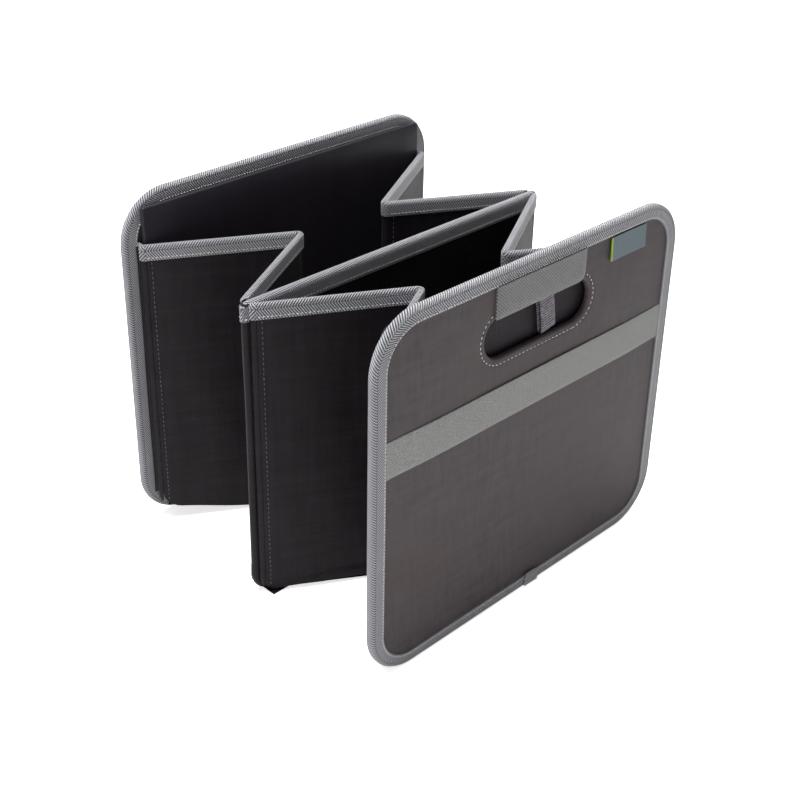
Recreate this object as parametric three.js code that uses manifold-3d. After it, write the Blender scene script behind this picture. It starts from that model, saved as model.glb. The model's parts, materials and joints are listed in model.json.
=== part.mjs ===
// A folding storage box of stiffened cloth panels, standing half unfolded.
// Two rounded end panels and a divider are joined by side walls that fold inwards like a bellows.
// Millimetres, +Z up, X across the box. The front end panel faces -Y.
// The origin is the middle of the box on the surface that it stands on.

import * as THREE from 'three';
import { mergeVertices } from 'three/addons/utils/BufferGeometryUtils.js';
import Module from 'manifold-3d';

const wasm = await Module();
wasm.setup();

// Sizes of the box
const PANEL_WIDTH = 312;
const PANEL_HEIGHT = 280;
const PANEL_CORNER_RADIUS = 40;
const CORNER_SEGMENTS = 7; // facets of each rounded corner of an end panel
const WALL_LINK = 112.6; // pin to pin, from one fold to the next
const WALL_TOP = 243;
const WALL_FOOT = 3; // the walls hang just clear of the floor
const CORNER_FOLD_INSET = 14; // from the end panels' side edges to the corner folds
const REST_GAP = 120; // between the corner folds of one compartment, half unfolded

// Layers: a board in a cloth cover, bound with folded tape
const LAYER_GAP = 0.3; // between one sewn layer and the next
const ROUND_TRIM = 0.01; // a half round stays this much short, so that its two arcs don't meet
const PANEL_BOARD = 2;
const PANEL_CLOTH = 0.8;
const PANEL_TAPE = 0.8;
const EDGE_TAPE_REACH = 12;
const EDGE_TAPE_ROUNDING = 1;
const WALL_BOARD = 1.2;
const WALL_CLOTH = 0.6;
const WALL_TAPE = 0.6;
const WALL_TAPE_REACH = 12;
const WALL_TAPE_ROUNDING = 1.6;
const WALL_FOOT_RADIUS = 14;
const WALL_EDGE_ROUNDING = 0.9;
const PIN_CLEARANCE = 0.2; // a fold line lies just outside the tape
const WALL_END_GAP = 0.3; // from a fold line to the end of a wall
const FIN_REACH = 8; // of the divider's sewn fins, beyond the corner folds
const DIVIDER_BOARD_MARGIN = 9; // the fins hold no board
const DIVIDER_TAPE_REACH = 14;

// Hand hole and handle wrap
const HOLE_LENGTH = 110;
const HOLE_HEIGHT = 34;
const HOLE_DROP = 33; // from the top of the panel
const WRAP_WIDTH = 92;
const WRAP_GRIP_WIDTH = 74; // the part that turns through the hole
const WRAP_PADDING = 2.2;
const WRAP_GRIP = 2;
const WRAP_BACK = 1.3;
const WRAP_BACK_HEIGHT = 17;
const WRAP_CORNER = 7;

// Floor plate, folded up inside each end panel, with its pull loop
const PLATE_FOOT = 32;
const PLATE_TOP_DROP = 10;
const PLATE_SIDE_GAP = 1; // inside the corner folds
const PLATE_BOARD = 1.6;
const PLATE_CORNER_RADIUS = 3;
const PLATE_HINGE_FOOT = 6;
const PLATE_HINGE_MARGIN = 6;
const LOOP_WIDTH = 15;
const LOOP_HEIGHT = 27;
const LOOP_DEPTH = 4.9;
const LOOP_WEBBING = 1.2;
const LOOP_X = 8;
const LOOP_DROP = 1; // below the middle of the hand hole
const LOOP_TILT = 0.12;

// Corner seams, elastic band and tag
const SEAM_WIDTH = 4.3;
const SEAM_FOOT = 16;
const BAND_WIDTH = 28;
const BAND_FOOT = 164;
const BAND_THICKNESS = 0.6;
const TAG_WIDTH = 40;
const TAG_DROP = 18;
const TAG_X = 94;

// Bottom cloth, bunched up while the box is half folded
const CLOTH_THICKNESS = 1;
const CLOTH_FOOT = 0.8;
const CLOTH_OVERHANG = 4; // beyond the walls, under their lower edges
const CLOTH_HEAP = 24;
const CLOTH_CREASE = 22; // how far the creases lean across the box
const CLOTH_RISE = 26; // width of the slope beside a wall
const CLOTH_WALL_CLEARANCE = 8;
const CLOTH_TUCK = 24; // drawn in from the rounded corners of the end panel
const CLOTH_CELLS_ACROSS = 14;
const CLOTH_CELLS_ALONG = 16;

// Thicknesses and distances that follow from the sizes
const clothStack = (board, cloth) => board + 2 * (LAYER_GAP + cloth);
const tapeStack = (stack, tape) => stack + 2 * (LAYER_GAP + tape);
const panelCovered = clothStack(PANEL_BOARD, PANEL_CLOTH);
const panelTaped = tapeStack(panelCovered, PANEL_TAPE);
const wallCovered = clothStack(WALL_BOARD, WALL_CLOTH);
const wallTaped = tapeStack(wallCovered, WALL_TAPE);
const pinX = PANEL_WIDTH / 2 - CORNER_FOLD_INSET;
const dividerHalfWidth = pinX + FIN_REACH;
const holeTop = PANEL_HEIGHT - HOLE_DROP;
const holeMiddle = holeTop - HOLE_HEIGHT / 2;
const wrapBackFace = panelCovered / 2 + LAYER_GAP + WRAP_BACK;
const plateCovered = clothStack(PLATE_BOARD, PANEL_CLOTH);
const plateOuterFace = Math.max(wrapBackFace, panelTaped / 2) + LAYER_GAP;
const plateInnerFace = plateOuterFace + plateCovered;
const dividerPinY = panelTaped / 2 + LAYER_GAP;
const endPinOffset = plateInnerFace + LAYER_GAP;
const endPanelY = dividerPinY + REST_GAP + endPinOffset;

// The folding linkage: two equal links between the corner folds of a compartment
const pinOffset = wallTaped / 2 + PIN_CLEARANCE;
const wallRun = Math.sqrt(WALL_LINK ** 2 - (2 * pinOffset) ** 2);
const wallLength = wallRun - 2 * WALL_END_GAP;
const linkAngle = Math.acos(REST_GAP / 2 / WALL_LINK);
const wallAngle = linkAngle + Math.atan2(2 * pinOffset, wallRun) - Math.PI / 2;
const foldInset = WALL_LINK * Math.sin(linkAngle);

// Materials, by what each piece is made of
const finish = (color, roughness) => new THREE.MeshStandardMaterial({ color, roughness, metalness: 0 });
const panelCloth = () => finish(0x3a3432, 0.55);
const wallCloth = () => finish(0x1c1a1c, 0.6);
const boardStock = () => finish(0x6d6660, 0.8);
const greyTape = () => finish(0x84868a, 0.5);
const wrapCloth = () => finish(0x7c7e7d, 0.7);
const elastic = () => finish(0x6f7672, 0.8);
const webbing = () => finish(0x4c4a4e, 0.7);
const tagCloth = () => finish(0x5d7480, 0.7);

// Geometry helpers

function toSolid(geometry) {
  geometry.deleteAttribute('normal');
  geometry.deleteAttribute('uv');
  const merged = mergeVertices(geometry, 1e-4);
  return new wasm.Manifold(new wasm.Mesh({
    numProp: 3,
    vertProperties: merged.attributes.position.array,
    triVerts: Uint32Array.from(merged.index.array),
  }));
}

function toGeometry(solid) {
  const mesh = solid.getMesh();
  const geometry = new THREE.BufferGeometry();
  geometry.setAttribute('position', new THREE.BufferAttribute(mesh.vertProperties, 3));
  geometry.setIndex(new THREE.BufferAttribute(mesh.triVerts, 1));
  return geometry;
}

const cut = (body, ...tools) =>
  toGeometry(tools.reduce((solid, tool) => solid.subtract(toSolid(tool)), toSolid(body)));

const join = (...bodies) =>
  toGeometry(bodies.map(toSolid).reduce((solid, next) => solid.add(next)));

function roundedOutline(Outline, width, height, radius, x = 0, y = 0) {
  const outline = new Outline();
  const right = width / 2 - radius;
  const top = height / 2 - radius;
  outline.absarc(x + right, y + top, radius, 0, Math.PI / 2);
  outline.absarc(x - right, y + top, radius, Math.PI / 2, Math.PI);
  outline.absarc(x - right, y - top, radius, Math.PI, 1.5 * Math.PI);
  outline.absarc(x + right, y - top, radius, 1.5 * Math.PI, 2 * Math.PI);
  outline.closePath();
  return outline;
}

const slab = (shape, depth, curveSegments = 3) =>
  new THREE.ExtrudeGeometry(shape, { depth, bevelEnabled: false, curveSegments });

// A slab in the plane of an end panel, between two heights above the panel's middle plane
const layer = (shape, low, high, curveSegments = CORNER_SEGMENTS) =>
  slab(shape, high - low, curveSegments).translate(0, 0, low);

// A profile drawn in (outward, up), swept across the panel
const sweptAcross = (profile, width) =>
  slab(profile, width, 4).rotateY(-Math.PI / 2).translate(width / 2, 0, 0);

function piece(name, geometry, material) {
  const mesh = new THREE.Mesh(geometry, material);
  mesh.name = name;
  return mesh;
}

// Divider: a board in a sleeve whose side edges are sewn into fins, with a tape cap along the top

function makeDivider() {
  const sleeveTop = WALL_TOP - PANEL_TAPE - LAYER_GAP;
  const boardHalfWidth = dividerHalfWidth - DIVIDER_BOARD_MARGIN;
  const pocketHalfWidth = boardHalfWidth + LAYER_GAP;
  const boardFoot = PANEL_CLOTH + LAYER_GAP;
  const finRound = panelCovered / 2 - ROUND_TRIM;

  const sleeveShape = roundedOutline(THREE.Shape, 2 * dividerHalfWidth, panelCovered, finRound);
  const pocketDepth = panelCovered - 2 * PANEL_CLOTH;
  const sleeve = cut(
    slab(sleeveShape, sleeveTop, 5),
    new THREE.BoxGeometry(2 * pocketHalfWidth, pocketDepth, sleeveTop)
      .translate(0, 0, sleeveTop / 2 + PANEL_CLOTH),
  );

  const board = new THREE.BoxGeometry(2 * boardHalfWidth, PANEL_BOARD, sleeveTop - boardFoot)
    .translate(0, 0, (sleeveTop + boardFoot) / 2);

  const capHalfWidth = dividerHalfWidth + LAYER_GAP + PANEL_TAPE;
  const cap = cut(
    slab(roundedOutline(THREE.Shape, 2 * capHalfWidth, panelTaped, panelTaped / 2 - ROUND_TRIM),
      DIVIDER_TAPE_REACH, 5),
    slab(roundedOutline(THREE.Shape, 2 * (capHalfWidth - PANEL_TAPE), panelTaped - 2 * PANEL_TAPE,
      panelTaped / 2 - PANEL_TAPE - ROUND_TRIM), DIVIDER_TAPE_REACH, 5).translate(0, 0, -PANEL_TAPE),
  ).translate(0, 0, WALL_TOP - DIVIDER_TAPE_REACH);

  const divider = new THREE.Group();
  divider.add(
    piece('divider_cover', sleeve, wallCloth()),
    piece('divider_board', board, boardStock()),
    piece('divider_tape', cap, greyTape()),
  );
  return divider;
}

// A wall's face, with its lower corners rounded, drawn in (along, up) and drawn in by a margin
function footedOutline(margin, top) {
  const outline = new THREE.Shape();
  const half = wallLength / 2 - margin;
  const radius = WALL_FOOT_RADIUS - margin;
  outline.moveTo(half, top);
  outline.lineTo(-half, top);
  outline.absarc(radius - half, margin + radius, radius, Math.PI, 1.5 * Math.PI);
  outline.absarc(half - radius, margin + radius, radius, 1.5 * Math.PI, 2 * Math.PI);
  outline.closePath();
  return outline;
}

// Stands a slab of a given thickness up on its lower edge, in the middle of a wall
const standing = (geometry, thickness) =>
  geometry.rotateX(Math.PI / 2).translate(0, thickness / 2, 0);

// Side wall panel: a board in a cloth pocket that is open along the top, closed by folded tape.
// It is symmetric, so each copy is only turned and placed.

function makeWall(name) {
  const pocketTop = WALL_TOP - WALL_TAPE - LAYER_GAP;
  const pocketHeight = pocketTop - WALL_FOOT;
  const pocketDepth = wallCovered - 2 * WALL_CLOTH;
  const boardMargin = WALL_CLOTH + LAYER_GAP;
  const bevel = {
    depth: wallCovered - 2 * WALL_EDGE_ROUNDING,
    bevelThickness: WALL_EDGE_ROUNDING,
    bevelSize: WALL_EDGE_ROUNDING,
    bevelOffset: -WALL_EDGE_ROUNDING,
    bevelSegments: 2,
    curveSegments: 4,
  };

  const pocket = cut(
    standing(new THREE.ExtrudeGeometry(footedOutline(0, pocketHeight), bevel), wallCovered)
      .translate(0, -WALL_EDGE_ROUNDING, 0),
    standing(slab(footedOutline(WALL_CLOTH, pocketHeight + WALL_CLOTH), pocketDepth, 4), pocketDepth),
  ).translate(0, 0, WALL_FOOT);
  const board = standing(slab(footedOutline(boardMargin, pocketHeight), WALL_BOARD, 4), WALL_BOARD)
    .translate(0, 0, WALL_FOOT);

  const outer = wallTaped / 2;
  const inner = outer - WALL_TAPE;
  const shoulder = outer - WALL_TAPE_ROUNDING;
  const crown = WALL_TAPE_REACH - WALL_TAPE_ROUNDING;
  const profile = new THREE.Shape();
  profile.moveTo(outer, 0);
  profile.absarc(shoulder, crown, WALL_TAPE_ROUNDING, 0, Math.PI / 2);
  profile.absarc(-shoulder, crown, WALL_TAPE_ROUNDING, Math.PI / 2, Math.PI);
  profile.lineTo(-outer, 0);
  profile.lineTo(-inner, 0);
  profile.lineTo(-inner, WALL_TAPE_REACH - WALL_TAPE);
  profile.lineTo(inner, WALL_TAPE_REACH - WALL_TAPE);
  profile.lineTo(inner, 0);
  profile.closePath();
  const tape = slab(profile, wallLength, 4)
    .rotateX(Math.PI / 2)
    .rotateZ(Math.PI / 2)
    .translate(-wallLength / 2, 0, WALL_TOP - WALL_TAPE_REACH);

  const wall = new THREE.Group();
  wall.add(
    piece(`${name}_cover`, pocket, wallCloth()),
    piece(`${name}_board`, board, boardStock()),
    piece(`${name}_tape`, tape, greyTape()),
  );
  return wall;
}

// The four walls of one compartment: an inner and an outer wall on each side, in a V that opens outwards

function makeWalls(compartment, towardsRear) {
  const runX = wallRun / 2 * Math.cos(wallAngle) + pinOffset * Math.sin(wallAngle);
  const runY = -wallRun / 2 * Math.sin(wallAngle) + pinOffset * Math.cos(wallAngle);
  const walls = new THREE.Group();
  for (const [side, towardsRight] of [['left', -1], ['right', 1]]) {
    const turn = wallAngle * towardsRight * towardsRear;
    const x = towardsRight * (pinX - runX);
    const inner = makeWall(`${compartment}_${side}_inner_wall`);
    inner.position.set(x, towardsRear * (dividerPinY + runY), 0);
    inner.rotation.z = turn;
    const outer = makeWall(`${compartment}_${side}_outer_wall`);
    outer.position.set(x, towardsRear * (dividerPinY + REST_GAP - runY), 0);
    outer.rotation.z = -turn;
    walls.add(inner, outer);
  }
  return walls;
}

// End panel, drawn lying in its own plane: X across, Y up, Z outwards from the board's middle plane

const panelOutline = (inset, Outline = THREE.Shape) =>
  roundedOutline(Outline, PANEL_WIDTH - 2 * inset, PANEL_HEIGHT - 2 * inset,
    PANEL_CORNER_RADIUS - inset, 0, PANEL_HEIGHT / 2);

const holeOutline = (margin, Outline = THREE.Path) =>
  roundedOutline(Outline, HOLE_LENGTH + 2 * margin, HOLE_HEIGHT + 2 * margin,
    HOLE_HEIGHT / 2 + margin - ROUND_TRIM, 0, holeMiddle);

function pierced(shape, hole) {
  shape.holes.push(hole);
  return shape;
}

function makePanelLayers(end) {
  const coverInset = PANEL_TAPE + LAYER_GAP;
  const lipMargin = PANEL_CLOTH + LAYER_GAP;
  const boardFace = PANEL_BOARD / 2;
  const coverFace = panelCovered / 2;

  // The cover turns in through the hand hole as a lip, and hides the board's edge there
  const cover = join(
    layer(pierced(panelOutline(coverInset), holeOutline(0)), boardFace + LAYER_GAP, coverFace),
    layer(pierced(holeOutline(PANEL_CLOTH, THREE.Shape), holeOutline(0)), -coverFace, coverFace),
  );
  const board = layer(pierced(panelOutline(coverInset), holeOutline(lipMargin)), -boardFace, boardFace);
  const lining = layer(pierced(panelOutline(coverInset), holeOutline(lipMargin)),
    -coverFace, -boardFace - LAYER_GAP);

  const roundOver = {
    depth: panelTaped - 2 * EDGE_TAPE_ROUNDING,
    bevelThickness: EDGE_TAPE_ROUNDING,
    bevelSize: EDGE_TAPE_ROUNDING,
    bevelOffset: -EDGE_TAPE_ROUNDING,
    bevelSegments: 2,
    curveSegments: CORNER_SEGMENTS,
  };
  const rim = new THREE.ExtrudeGeometry(panelOutline(0), roundOver)
    .translate(0, 0, EDGE_TAPE_ROUNDING - panelTaped / 2);
  const slotFace = panelTaped / 2 - PANEL_TAPE;
  const tape = cut(
    rim,
    layer(panelOutline(PANEL_TAPE), -slotFace, slotFace),
    layer(panelOutline(EDGE_TAPE_REACH), -panelTaped, panelTaped),
  );
  return [
    piece(`${end}_panel_cover`, cover, panelCloth()),
    piece(`${end}_panel_board`, board, boardStock()),
    piece(`${end}_panel_lining`, lining, panelCloth()),
    piece(`${end}_edge_tape`, tape, greyTape()),
  ];
}

// Padded wrap over the grip, from under the edge tape, through the hand hole and up behind

function makeHandleWrap(end) {
  const innerFront = panelCovered / 2 + LAYER_GAP;
  const front = innerFront + WRAP_PADDING;
  const top = PANEL_HEIGHT - EDGE_TAPE_REACH - LAYER_GAP;
  const gripTop = holeTop - LAYER_GAP;
  const gripFoot = gripTop - WRAP_GRIP;
  const round = Math.min(WRAP_GRIP, WRAP_BACK, WRAP_PADDING) * 0.9;

  const profile = new THREE.Shape();
  profile.moveTo(front, top);
  profile.lineTo(innerFront, top);
  profile.lineTo(innerFront, gripTop);
  profile.lineTo(-innerFront, gripTop);
  profile.lineTo(-innerFront, gripTop + WRAP_BACK_HEIGHT);
  profile.lineTo(-wrapBackFace, gripTop + WRAP_BACK_HEIGHT);
  profile.absarc(-wrapBackFace + round, gripFoot + round, round, Math.PI, 1.5 * Math.PI);
  profile.absarc(front - round, gripFoot + round, round, 1.5 * Math.PI, 2 * Math.PI);
  profile.closePath();

  const padHeight = top - gripFoot;
  const pad = roundedOutline(THREE.Shape, WRAP_WIDTH, padHeight, WRAP_CORNER, 0, gripFoot + padHeight / 2);
  const wrap = join(sweptAcross(profile, WRAP_GRIP_WIDTH), layer(pad, innerFront, front, 4));
  return piece(`${end}_handle_wrap`, wrap, wrapCloth());
}

// Floor plate, folded up against the inside, hung on a cloth hinge at its foot

function makeFloorPlate(end) {
  const width = 2 * (pinX - PLATE_SIDE_GAP);
  const length = PANEL_HEIGHT - PLATE_TOP_DROP - PLATE_FOOT;
  const margin = PANEL_CLOTH + LAYER_GAP;
  const boardLength = length - margin;
  const plateShape = roundedOutline(THREE.Shape, width, length, PLATE_CORNER_RADIUS,
    0, PLATE_FOOT + length / 2);
  const middle = -(plateOuterFace + plateInnerFace) / 2;
  const hingeHeight = PLATE_FOOT + 2 * PANEL_CLOTH - PLATE_HINGE_FOOT;
  const hingeWidth = width - 2 * PLATE_HINGE_MARGIN;

  const pocket = cut(
    layer(plateShape, -plateInnerFace, -plateOuterFace, 3),
    new THREE.BoxGeometry(width - 2 * PANEL_CLOTH, length, plateCovered - 2 * PANEL_CLOTH)
      .translate(0, PLATE_FOOT + length / 2 - PANEL_CLOTH, middle),
  );
  const hinge = new THREE.BoxGeometry(hingeWidth, hingeHeight, PANEL_CLOTH)
    .translate(0, PLATE_HINGE_FOOT + hingeHeight / 2, -plateOuterFace - PANEL_CLOTH / 2);
  const board = new THREE.BoxGeometry(width - 2 * margin, boardLength, PLATE_BOARD)
    .translate(0, PLATE_FOOT + boardLength / 2, middle);

  const ring = roundedOutline(THREE.Shape, LOOP_DEPTH, LOOP_HEIGHT, LOOP_DEPTH / 2 - ROUND_TRIM);
  const eye = roundedOutline(THREE.Path, LOOP_DEPTH - 2 * LOOP_WEBBING, LOOP_HEIGHT - 2 * LOOP_WEBBING,
    LOOP_DEPTH / 2 - LOOP_WEBBING - ROUND_TRIM);
  const loop = sweptAcross(pierced(ring, eye), LOOP_WIDTH)
    .rotateZ(-LOOP_TILT)
    .translate(LOOP_X, holeMiddle - LOOP_DROP, LOOP_DEPTH / 2 + LAYER_GAP - plateOuterFace);

  return [
    piece(`${end}_floor_plate_cover`, join(pocket, hinge), wallCloth()),
    piece(`${end}_floor_plate_board`, board, boardStock()),
    piece(`${end}_pull_loop`, loop, webbing()),
  ];
}

// The sewn corners that carry the outer walls

function makeCornerSeams(end) {
  const height = WALL_TOP - WALL_TAPE - SEAM_FOOT;
  const base = panelTaped / 2 + LAYER_GAP;
  const depth = plateInnerFace - base;
  return [['left', -1], ['right', 1]].map(([side, towardsRight]) => {
    const seam = slab(roundedOutline(THREE.Shape, SEAM_WIDTH, depth, 1), height)
      .rotateX(-Math.PI / 2)
      .translate(towardsRight * (pinX + LAYER_GAP + SEAM_WIDTH / 2), SEAM_FOOT, -base - depth / 2);
    return piece(`${end}_${side}_corner_seam`, seam, wallCloth());
  });
}

function makeEndPanel(end) {
  const panel = new THREE.Group();
  panel.add(...makePanelLayers(end), makeHandleWrap(end), ...makeFloorPlate(end));
  return panel;
}

// The elastic band that holds the folded box shut, and the folded tag: on the front panel only

function makeFrontTrim() {
  const face = panelCovered / 2 + LAYER_GAP;
  const bandLength = PANEL_WIDTH - 2 * (EDGE_TAPE_REACH + LAYER_GAP);
  const tagTop = PANEL_HEIGHT - EDGE_TAPE_REACH - LAYER_GAP;
  const tagThickness = panelTaped / 2 - face;
  const band = new THREE.BoxGeometry(bandLength, BAND_WIDTH, BAND_THICKNESS)
    .translate(0, BAND_FOOT + BAND_WIDTH / 2, face + BAND_THICKNESS / 2);
  const tag = layer(roundedOutline(THREE.Shape, TAG_WIDTH, TAG_DROP, 1, TAG_X, tagTop - TAG_DROP / 2),
    face, face + tagThickness, 2);
  return [
    piece('front_elastic_band', band, elastic()),
    piece('front_tag', tag, tagCloth()),
  ];
}

// A closed sheet over a grid. Its upper face is its lower face raised by its thickness, with the
// same diagonals, so that the two never meet however the sheet is creased.

function makeSheet(columns, rows, thickness, place) {
  const corners = [];
  const facets = [];
  const lower = (column, row) => 2 * (row * (columns + 1) + column);
  const upper = (column, row) => lower(column, row) + 1;
  const addQuad = (a, b, c, d) => facets.push(a, b, c, a, c, d);
  for (let row = 0; row <= rows; row += 1) {
    for (let column = 0; column <= columns; column += 1) {
      const [x, y, z] = place(2 * column / columns - 1, row / rows);
      corners.push(x, y, z, x, y, z + thickness);
    }
  }
  for (let row = 0; row < rows; row += 1) {
    for (let column = 0; column < columns; column += 1) {
      const around = [[column, row], [column + 1, row], [column + 1, row + 1], [column, row + 1]];
      addQuad(...around.map((corner) => upper(...corner)));
      const [a, b, c, d] = around.map((corner) => lower(...corner));
      addQuad(a, d, c, b);
    }
  }
  for (let column = 0; column < columns; column += 1) {
    addQuad(lower(column, 0), lower(column + 1, 0), upper(column + 1, 0), upper(column, 0));
    addQuad(lower(column + 1, rows), lower(column, rows), upper(column, rows), upper(column + 1, rows));
  }
  for (let row = 0; row < rows; row += 1) {
    addQuad(lower(0, row + 1), lower(0, row), upper(0, row), upper(0, row + 1));
    addQuad(lower(columns, row), lower(columns, row + 1), upper(columns, row + 1), upper(columns, row));
  }
  const sheet = new THREE.BufferGeometry();
  sheet.setAttribute('position', new THREE.Float32BufferAttribute(corners, 3));
  sheet.setIndex(facets);
  return sheet;
}

// Bottom cloth of one compartment: its edges follow the feet of the walls, and its slack is heaped up

function makeBottomCloth(name) {
  const nearY = panelTaped / 2 + LAYER_GAP;
  const farY = endPanelY - panelTaped / 2 - LAYER_GAP;
  const cloth = makeSheet(CLOTH_CELLS_ACROSS, CLOTH_CELLS_ALONG, CLOTH_THICKNESS, (across, along) => {
    const y = nearY + along * (farY - nearY);
    const share = THREE.MathUtils.clamp((y - dividerPinY) / REST_GAP, 0, 1);
    const wallX = pinX - foldInset * (1 - Math.abs(2 * share - 1));
    const tuck = CLOTH_TUCK * THREE.MathUtils.smoothstep(along, 0.8, 0.98);
    const x = across * (wallX + CLOTH_OVERHANG - tuck);
    const slope = THREE.MathUtils.smoothstep(wallX - CLOTH_WALL_CLEARANCE - Math.abs(x), 0, CLOTH_RISE);
    const ridges = 0.62 + 0.38 * Math.cos(6 * Math.PI * along + x / CLOTH_CREASE);
    return [x, y, CLOTH_FOOT + CLOTH_HEAP * slope * Math.sin(Math.PI * along) * ridges];
  });
  return piece(name, cloth, wallCloth());
}

// Assembly

const group = new THREE.Group();
group.add(makeDivider());
group.add(makeWalls('front', -1), makeWalls('rear', 1));

const front = makeEndPanel('front');
front.add(...makeCornerSeams('front'), ...makeFrontTrim());
front.rotation.x = Math.PI / 2;
front.position.y = -endPanelY;
group.add(front);

const rear = new THREE.Group();
const rearPanel = makeEndPanel('rear');
rearPanel.add(...makeCornerSeams('rear'));
rearPanel.rotation.x = Math.PI / 2;
rear.add(rearPanel);
rear.rotation.z = Math.PI;
rear.position.y = endPanelY;
group.add(rear);

const frontCloth = makeBottomCloth('front_bottom_cloth');
frontCloth.rotation.z = Math.PI;
group.add(frontCloth, makeBottomCloth('rear_bottom_cloth'));

export default group;
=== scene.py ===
"""A folding storage box of stiffened cloth panels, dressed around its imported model.

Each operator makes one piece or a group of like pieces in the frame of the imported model.
Lengths are metres, and lengths in materials are millimetres.
"""

import json
import math

import bmesh
import bpy
from bpy.props import FloatProperty, FloatVectorProperty, PointerProperty
from mathutils import Matrix, Vector, noise
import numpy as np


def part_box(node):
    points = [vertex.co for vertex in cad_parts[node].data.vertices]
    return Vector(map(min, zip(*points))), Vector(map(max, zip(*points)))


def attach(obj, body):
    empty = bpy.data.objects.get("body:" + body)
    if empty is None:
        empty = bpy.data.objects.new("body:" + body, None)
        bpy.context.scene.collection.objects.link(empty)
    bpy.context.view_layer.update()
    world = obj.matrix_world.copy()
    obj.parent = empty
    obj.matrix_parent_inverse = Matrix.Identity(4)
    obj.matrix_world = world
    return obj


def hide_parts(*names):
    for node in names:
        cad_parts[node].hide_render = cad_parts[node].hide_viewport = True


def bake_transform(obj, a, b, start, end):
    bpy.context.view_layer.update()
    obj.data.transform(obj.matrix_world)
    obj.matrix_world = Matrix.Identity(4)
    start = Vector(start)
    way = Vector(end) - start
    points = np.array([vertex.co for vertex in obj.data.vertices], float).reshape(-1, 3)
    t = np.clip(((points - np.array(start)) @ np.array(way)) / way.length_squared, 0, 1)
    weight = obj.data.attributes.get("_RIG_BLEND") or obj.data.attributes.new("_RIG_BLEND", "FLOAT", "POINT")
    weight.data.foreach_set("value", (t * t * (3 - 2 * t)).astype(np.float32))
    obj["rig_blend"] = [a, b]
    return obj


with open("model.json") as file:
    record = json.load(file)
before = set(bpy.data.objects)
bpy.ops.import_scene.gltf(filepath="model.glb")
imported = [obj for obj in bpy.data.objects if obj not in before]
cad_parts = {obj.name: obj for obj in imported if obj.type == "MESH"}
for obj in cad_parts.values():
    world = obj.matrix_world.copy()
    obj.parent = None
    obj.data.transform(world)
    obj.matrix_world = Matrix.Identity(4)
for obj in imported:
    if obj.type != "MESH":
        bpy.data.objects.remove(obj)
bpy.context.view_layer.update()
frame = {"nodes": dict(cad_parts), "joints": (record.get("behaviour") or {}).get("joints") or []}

bl_info = {
    "name": "Folding Storage Box",
    "version": (1, 0, 0),
    "blender": (4, 5, 0),
    "location": "3D Viewport > Sidebar > Storage Box",
    "description": "Cloth, binding tape and padding for a folding storage box",
    "category": "Add Mesh",
}

MM = 0.001
ENDS = (("front", -1), ("rear", 1))
SIDES = (("left", -1), ("right", 1))


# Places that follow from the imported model

def joint_place(name):
    """The place of one fold line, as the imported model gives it."""
    return Vector(next(j["pos_m"] for j in frame["joints"] if j["name"] == name))


def node_span(node, axis):
    """The lowest and highest place of a node along one axis."""
    low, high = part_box(node)
    return low[axis], high[axis]


NEAR_FOLD = joint_place("rear_fold")
MIDDLE_FOLD = joint_place("rear_left_middle_fold")
FAR_FOLD = joint_place("rear_left_end_fold")
CORNER_X = abs(NEAR_FOLD.x)
MIDDLE_X = abs(MIDDLE_FOLD.x)
NEAR_Y, MIDDLE_Y, FAR_Y = NEAR_FOLD.y, MIDDLE_FOLD.y, FAR_FOLD.y
WALL_LINK = (MIDDLE_FOLD - NEAR_FOLD).length
PANEL_WIDTH = 2 * node_span("rear_edge_tape", 0)[1]
PANEL_HEIGHT = node_span("rear_edge_tape", 2)[1]
PANEL_INNER_Y, PANEL_OUTER_Y = node_span("rear_edge_tape", 1)
PANEL_Y = (PANEL_INNER_Y + PANEL_OUTER_Y) / 2
PANEL_TAPED = PANEL_OUTER_Y - PANEL_INNER_Y
PANEL_COVERED = 2 * (PANEL_Y - node_span("rear_panel_lining", 1)[0])
WALL_TOP = node_span("rear_left_inner_wall_tape", 2)[1]
WALL_TAPE_REACH = WALL_TOP - node_span("rear_left_inner_wall_tape", 2)[0]
WALL_FOOT = node_span("rear_left_inner_wall_cover", 2)[0]
DIVIDER_TAPE_X = node_span("divider_tape", 0)[1]
DIVIDER_TAPE_HALF = node_span("divider_tape", 1)[1]
DIVIDER_TAPE_FOOT = node_span("divider_tape", 2)[0]
DIVIDER_X = node_span("divider_cover", 0)[1]
DIVIDER_HALF = node_span("divider_cover", 1)[1]
DIVIDER_TOP = node_span("divider_cover", 2)[1]
WRAP_X = node_span("rear_handle_wrap", 0)[1]
WRAP_FOOT, WRAP_TOP = node_span("rear_handle_wrap", 2)
WRAP_INNER_Y, WRAP_OUTER_Y = node_span("rear_handle_wrap", 1)
PLATE_INNER_Y, PLATE_OUTER_Y = node_span("rear_floor_plate_cover", 1)
PLATE_X = node_span("rear_floor_plate_cover", 0)[1]
PLATE_TOP = node_span("rear_floor_plate_cover", 2)[1]
PLATE_FOOT = 0.032
BAND_FOOT, BAND_TOP = node_span("front_elastic_band", 2)
BAND_X = node_span("front_elastic_band", 0)[1]
TAG_LOW, TAG_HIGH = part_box("front_tag")
LOOP_LOW, LOOP_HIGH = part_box("front_pull_loop")
SEAM_LOW, SEAM_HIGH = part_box("rear_right_corner_seam")

PIN_OFFSET = 2.6 * MM
WALL_COVERED = 3.0 * MM
WALL_TAPED = 4.8 * MM
HOLE_LENGTH = 110 * MM
HOLE_HEIGHT = 34 * MM
HOLE_MIDDLE_Z = PANEL_HEIGHT - 50 * MM


# Shader maths

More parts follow.
